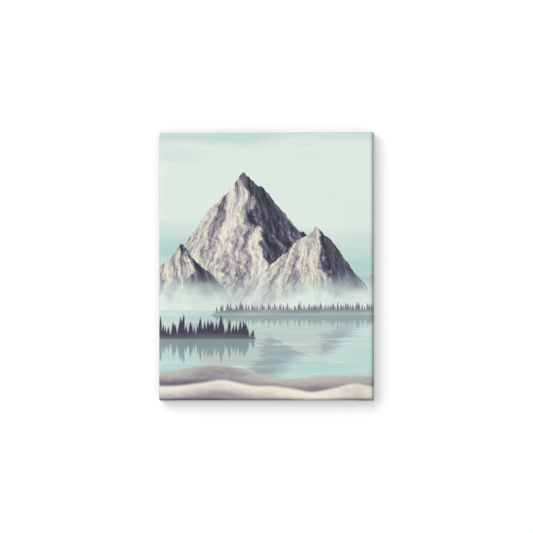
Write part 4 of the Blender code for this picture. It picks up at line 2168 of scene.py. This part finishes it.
@dataclass
class NailPair:
    """Two small nails with domed heads, through the ends of the hanger."""

    hanger: SawtoothHanger
    shank: float = 0.0008
    head: float = 0.002
    dome: float = 0.0008
    rim: float = 0.00018
    tip: float = 0.0001
    crown: float = 0.00012  # radius of the flat at the middle of the head
    length: float = 0.015
    point: float = 0.002
    dome_steps: int = 8
    steps: int = 32

    def build(self, steel: Material) -> Object:
        """Makes both nails.

        Args:
            steel: Their finish.

        Returns:
            The nails, as one piece.
        """
        seat, rim = self.hanger.seat + self.hanger.sheet, self.rim
        end = seat - self.length
        profile = [(self.tip, end), (self.shank, end + self.point), (self.shank, seat - PRESS)]
        profile += [(self.head - rim, seat - PRESS), (self.head, seat + rim / 2)]
        profile.append((self.head, seat + rim))
        for i in range(1, self.dome_steps):
            angle = math.pi / 2 * i / self.dome_steps
            y = seat + rim + (self.dome - rim) * math.sin(angle)
            profile.append((self.head * math.cos(angle), y))
        profile.append((self.crown, seat + self.dome))
        x = self.hanger.length / 2 - self.hanger.tab / 2
        z = self.hanger.height / 2 - self.hanger.tooth
        mesh = bmesh.new()
        for way in (-1, 1):
            loft(mesh, turned(profile, way * x, z, self.steps))
        nails = piece("hanger_nails", mesh, (steel,))
        nails.data.set_sharp_from_angle(angle=math.radians(50))
        return nails


@dataclass
class WallPads:
    """Two round rubber pads that keep the lower edge off the wall."""

    frame: BarFrame
    seat: float
    radius: float = 0.006
    shoulder: float = 0.0015
    shoulder_steps: int = 8
    skirt: float = 0.0003  # width of the bevel at its foot
    dish: float = 0.00025  # depth of the hollow in its outer face
    hollow: tuple[float, float, float] = (0.62, 0.55, 0.02)  # its radii, from the lip inwards
    from_side: float = 0.062
    from_bottom: float = 0.013
    steps: int = 56

    def build(self, rubber: Material) -> Object:
        """Makes both pads.

        Args:
            rubber: Their finish.

        Returns:
            The pads, as one piece.
        """
        profile = [(self.radius - self.skirt, self.seat), (self.radius, self.seat + self.skirt)]
        for i in range(self.shoulder_steps + 1):
            angle = math.pi / 2 * i / self.shoulder_steps
            radius = self.radius - self.shoulder * (1 - math.cos(angle))
            profile.append((radius, -self.shoulder * (1 - math.sin(angle))))
        lip, floor, centre = (self.radius * share for share in self.hollow)
        profile += [(lip, 0.0), (floor, -self.dish), (centre, -self.dish)]
        x, z = self.frame.half_width - self.from_side, self.frame.bottom + self.from_bottom
        mesh = bmesh.new()
        for way in (-1, 1):
            loft(mesh, turned(profile, way * x, z, self.steps))
        pads = piece("wall_pads", mesh, (rubber,))
        pads.data.set_sharp_from_angle(angle=math.radians(60))
        return pads


# --- Camera, light and backdrop ---


@dataclass(frozen=True)
class Glow:
    """One broad patch of light in the dome: where it is, how tight and how bright."""

    towards: tuple[float, float, float]
    tightness: float
    strength: float


@dataclass
class Studio:
    """A white wall and one soft dome of light, brightest from the upper left."""

    frame: BarFrame
    view_width: float = 1.0143  # what the camera takes in at the print's face
    distance: float = 8.0
    film: float = 36.0
    yaw: float = math.radians(2.7)
    pitch: float = math.radians(1.8)
    aim_x: float = 0.0007
    aim_z: float = -0.0006
    wall_size: float = 3.0
    wall_gap: float = 0.0002
    wall_white: float = 0.73
    wall_glow: float = 0.30
    flag_gap: float = 0.0005
    flag_front: float = 0.003
    base: float = 0.02
    glows: tuple[Glow, ...] = (
        Glow((-1.0, -0.3, 1.0), 2.0, 1.20),
        Glow((-0.3, -1.0, 0.3), 16.0, 5.40),
        Glow((0.3, -1.0, -0.3), 16.0, 2.80),
        Glow((0.3, 1.0, 0.4), 16.0, 2.90),
        Glow((0.3, 1.0, -0.5), 16.0, 3.30),
        Glow((-0.4, 1.0, 0.4), 16.0, 2.40),
    )

    def camera(self) -> None:
        """Sets the camera before the print, a little to the right and low."""
        data = bpy.data.cameras.new("camera")
        data.sensor_width = self.film
        data.lens = self.film * self.distance / self.view_width
        eye = placed("camera", data)
        facing = Euler((math.pi / 2 + self.pitch, 0.0, self.yaw))
        aim = Vector((self.aim_x, self.frame.front, self.frame.middle + self.aim_z))
        eye.location = aim + facing.to_matrix() @ Vector((0.0, 0.0, self.distance))
        eye.rotation_euler = facing
        bpy.context.scene.camera = eye

    def dome(self) -> None:
        """Lights the scene from all round."""
        world = bpy.data.worlds.new("studio dome")
        bpy.context.scene.world = world
        bench = Bench(world)
        towards = bench.node("ShaderNodeTexCoord").outputs["Generated"]
        light: Value = self.base
        for glow in self.glows:
            feeds = {0: towards, 1: Vector(glow.towards).normalized()}
            facing = bench.node("ShaderNodeVectorMath", feeds, operation="DOT_PRODUCT")
            amount = bench.highest(Wire(bench, facing.outputs["Value"]), 0.0)
            light = bench.math("POWER", amount, glow.tightness) * glow.strength + light
        seen = Wire(bench, bench.node("ShaderNodeLightPath").outputs["Is Camera Ray"])
        back = bench.node("ShaderNodeBackground", {"Color": (1.0, 1.0, 1.0)})
        bench.feed(back.inputs["Strength"], light + (1.0 - light) * seen)
        bench.node("ShaderNodeOutputWorld", {"Surface": back.outputs[0]})

    def wall(self) -> Object:
        """Makes the wall behind the print.

        Returns:
            The wall.
        """
        half, middle = self.wall_size, self.frame.middle
        corners = ((-half, -half), (half, -half), (half, half), (-half, half))
        mesh = bmesh.new()
        mesh.faces.new([mesh.verts.new((x, self.wall_gap, middle + z)) for x, z in corners])
        white = (self.wall_white, self.wall_white, self.wall_white)
        return piece("wall", mesh, (StagePaint("wall_white", white, self.wall_glow).make(),))

    def flags(self, reach: tuple[float, float]) -> Object:
        """Makes black flags close round the print and behind it, which keep its glow off the wall.

        Args:
            reach: Half the width and half the height that they stand clear of.

        Returns:
            The flags.
        """
        half_x, half_z = (half + self.flag_gap for half in reach)
        near, far = self.frame.front + self.flag_front, -self.flag_gap
        middle = self.frame.middle
        corners = [(-half_x, -half_z), (half_x, -half_z), (half_x, half_z), (-half_x, half_z)]
        mesh = bmesh.new()
        rings = [[mesh.verts.new((x, y, middle + z)) for x, z in corners] for y in (near, far)]
        for i in range(4):
            j = (i + 1) % 4
            mesh.faces.new((rings[1][i], rings[1][j], rings[0][j], rings[0][i]))
        mesh.faces.new(rings[1][::-1])
        black = StagePaint("flag_black", (0.0, 0.0, 0.0), met_by="Is Diffuse Ray").make()
        return piece("flags", mesh, (black,))

    def build(self, reach: tuple[float, float]) -> None:
        """Sets up the camera, the light and the backdrop.

        Args:
            reach: Half the width and half the height of the print.
        """
        bpy.context.scene.view_settings.view_transform = "Standard"
        self.camera()
        self.dome()
        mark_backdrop(self.wall(), self.flags(reach))


# --- The whole print ---


def carry(obj: Object, replaced: Sequence[str]) -> Object:
    """Hands a finished piece to the body that carries it.

    Args:
        obj: The piece.
        replaced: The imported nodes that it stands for.

    Returns:
        The same piece.
    """
    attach(obj, BODY)
    if replaced:
        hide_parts(*replaced)
    log.info("%s: %d faces, stands for %d nodes", obj.name, len(obj.data.polygons), len(replaced))
    return obj


def main() -> None:
    """Builds and dresses the print, piece by piece."""
    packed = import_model()
    nodes = packed["nodes"]
    frame, plan = BarFrame.measured(), StaplePlan()
    low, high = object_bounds()
    Studio(frame).build((high.x, (high.z - low.z) / 2))

    for bar in StretcherBars().dress(nodes):
        log.info("%s: pine", bar.name)

    wrap = CanvasWrap(frame, plan)
    printed = PrintedCloth(*wrap.face, 2 * (frame.half_height + wrap.lay), wrap.printed).make()
    cloth = carry(wrap.build(printed, RawCloth().make()), ["canvas"])
    wrap.cut_size

    seat = frame.back + wrap.lay - PRESS
    carry(LooseEnds(wrap).build(LooseThread().make()), [])

    wire = Metal("staple_wire", ink(214, 214, 216), ink(158, 156, 156), 0.30).make()
    rows = StapleRows(frame, plan, seat, wrap.fold)
    staple_nodes = sorted(name for name in nodes if name.startswith("staple_"))
    carry(rows.build(wire), staple_nodes)

    hanger = SawtoothHanger(seat)
    zinc = Metal("zinc_plate", ink(222, 216, 196), ink(176, 170, 152), 0.32, grain=700.0).make()
    carry(hanger.build(zinc), ["hanger"])
    steel = Metal("nail_steel", ink(206, 204, 200), ink(140, 136, 130), 0.34, grain=1400.0).make()
    carry(NailPair(hanger).build(steel), ["nail_left", "nail_right"])
    pads = WallPads(frame, seat).build(PadRubber().make())
    carry(pads, ["bumper_left", "bumper_right"])


if __name__ == "__main__":
    logging.basicConfig(level=logging.INFO, format="%(name)s: %(message)s")
    main()
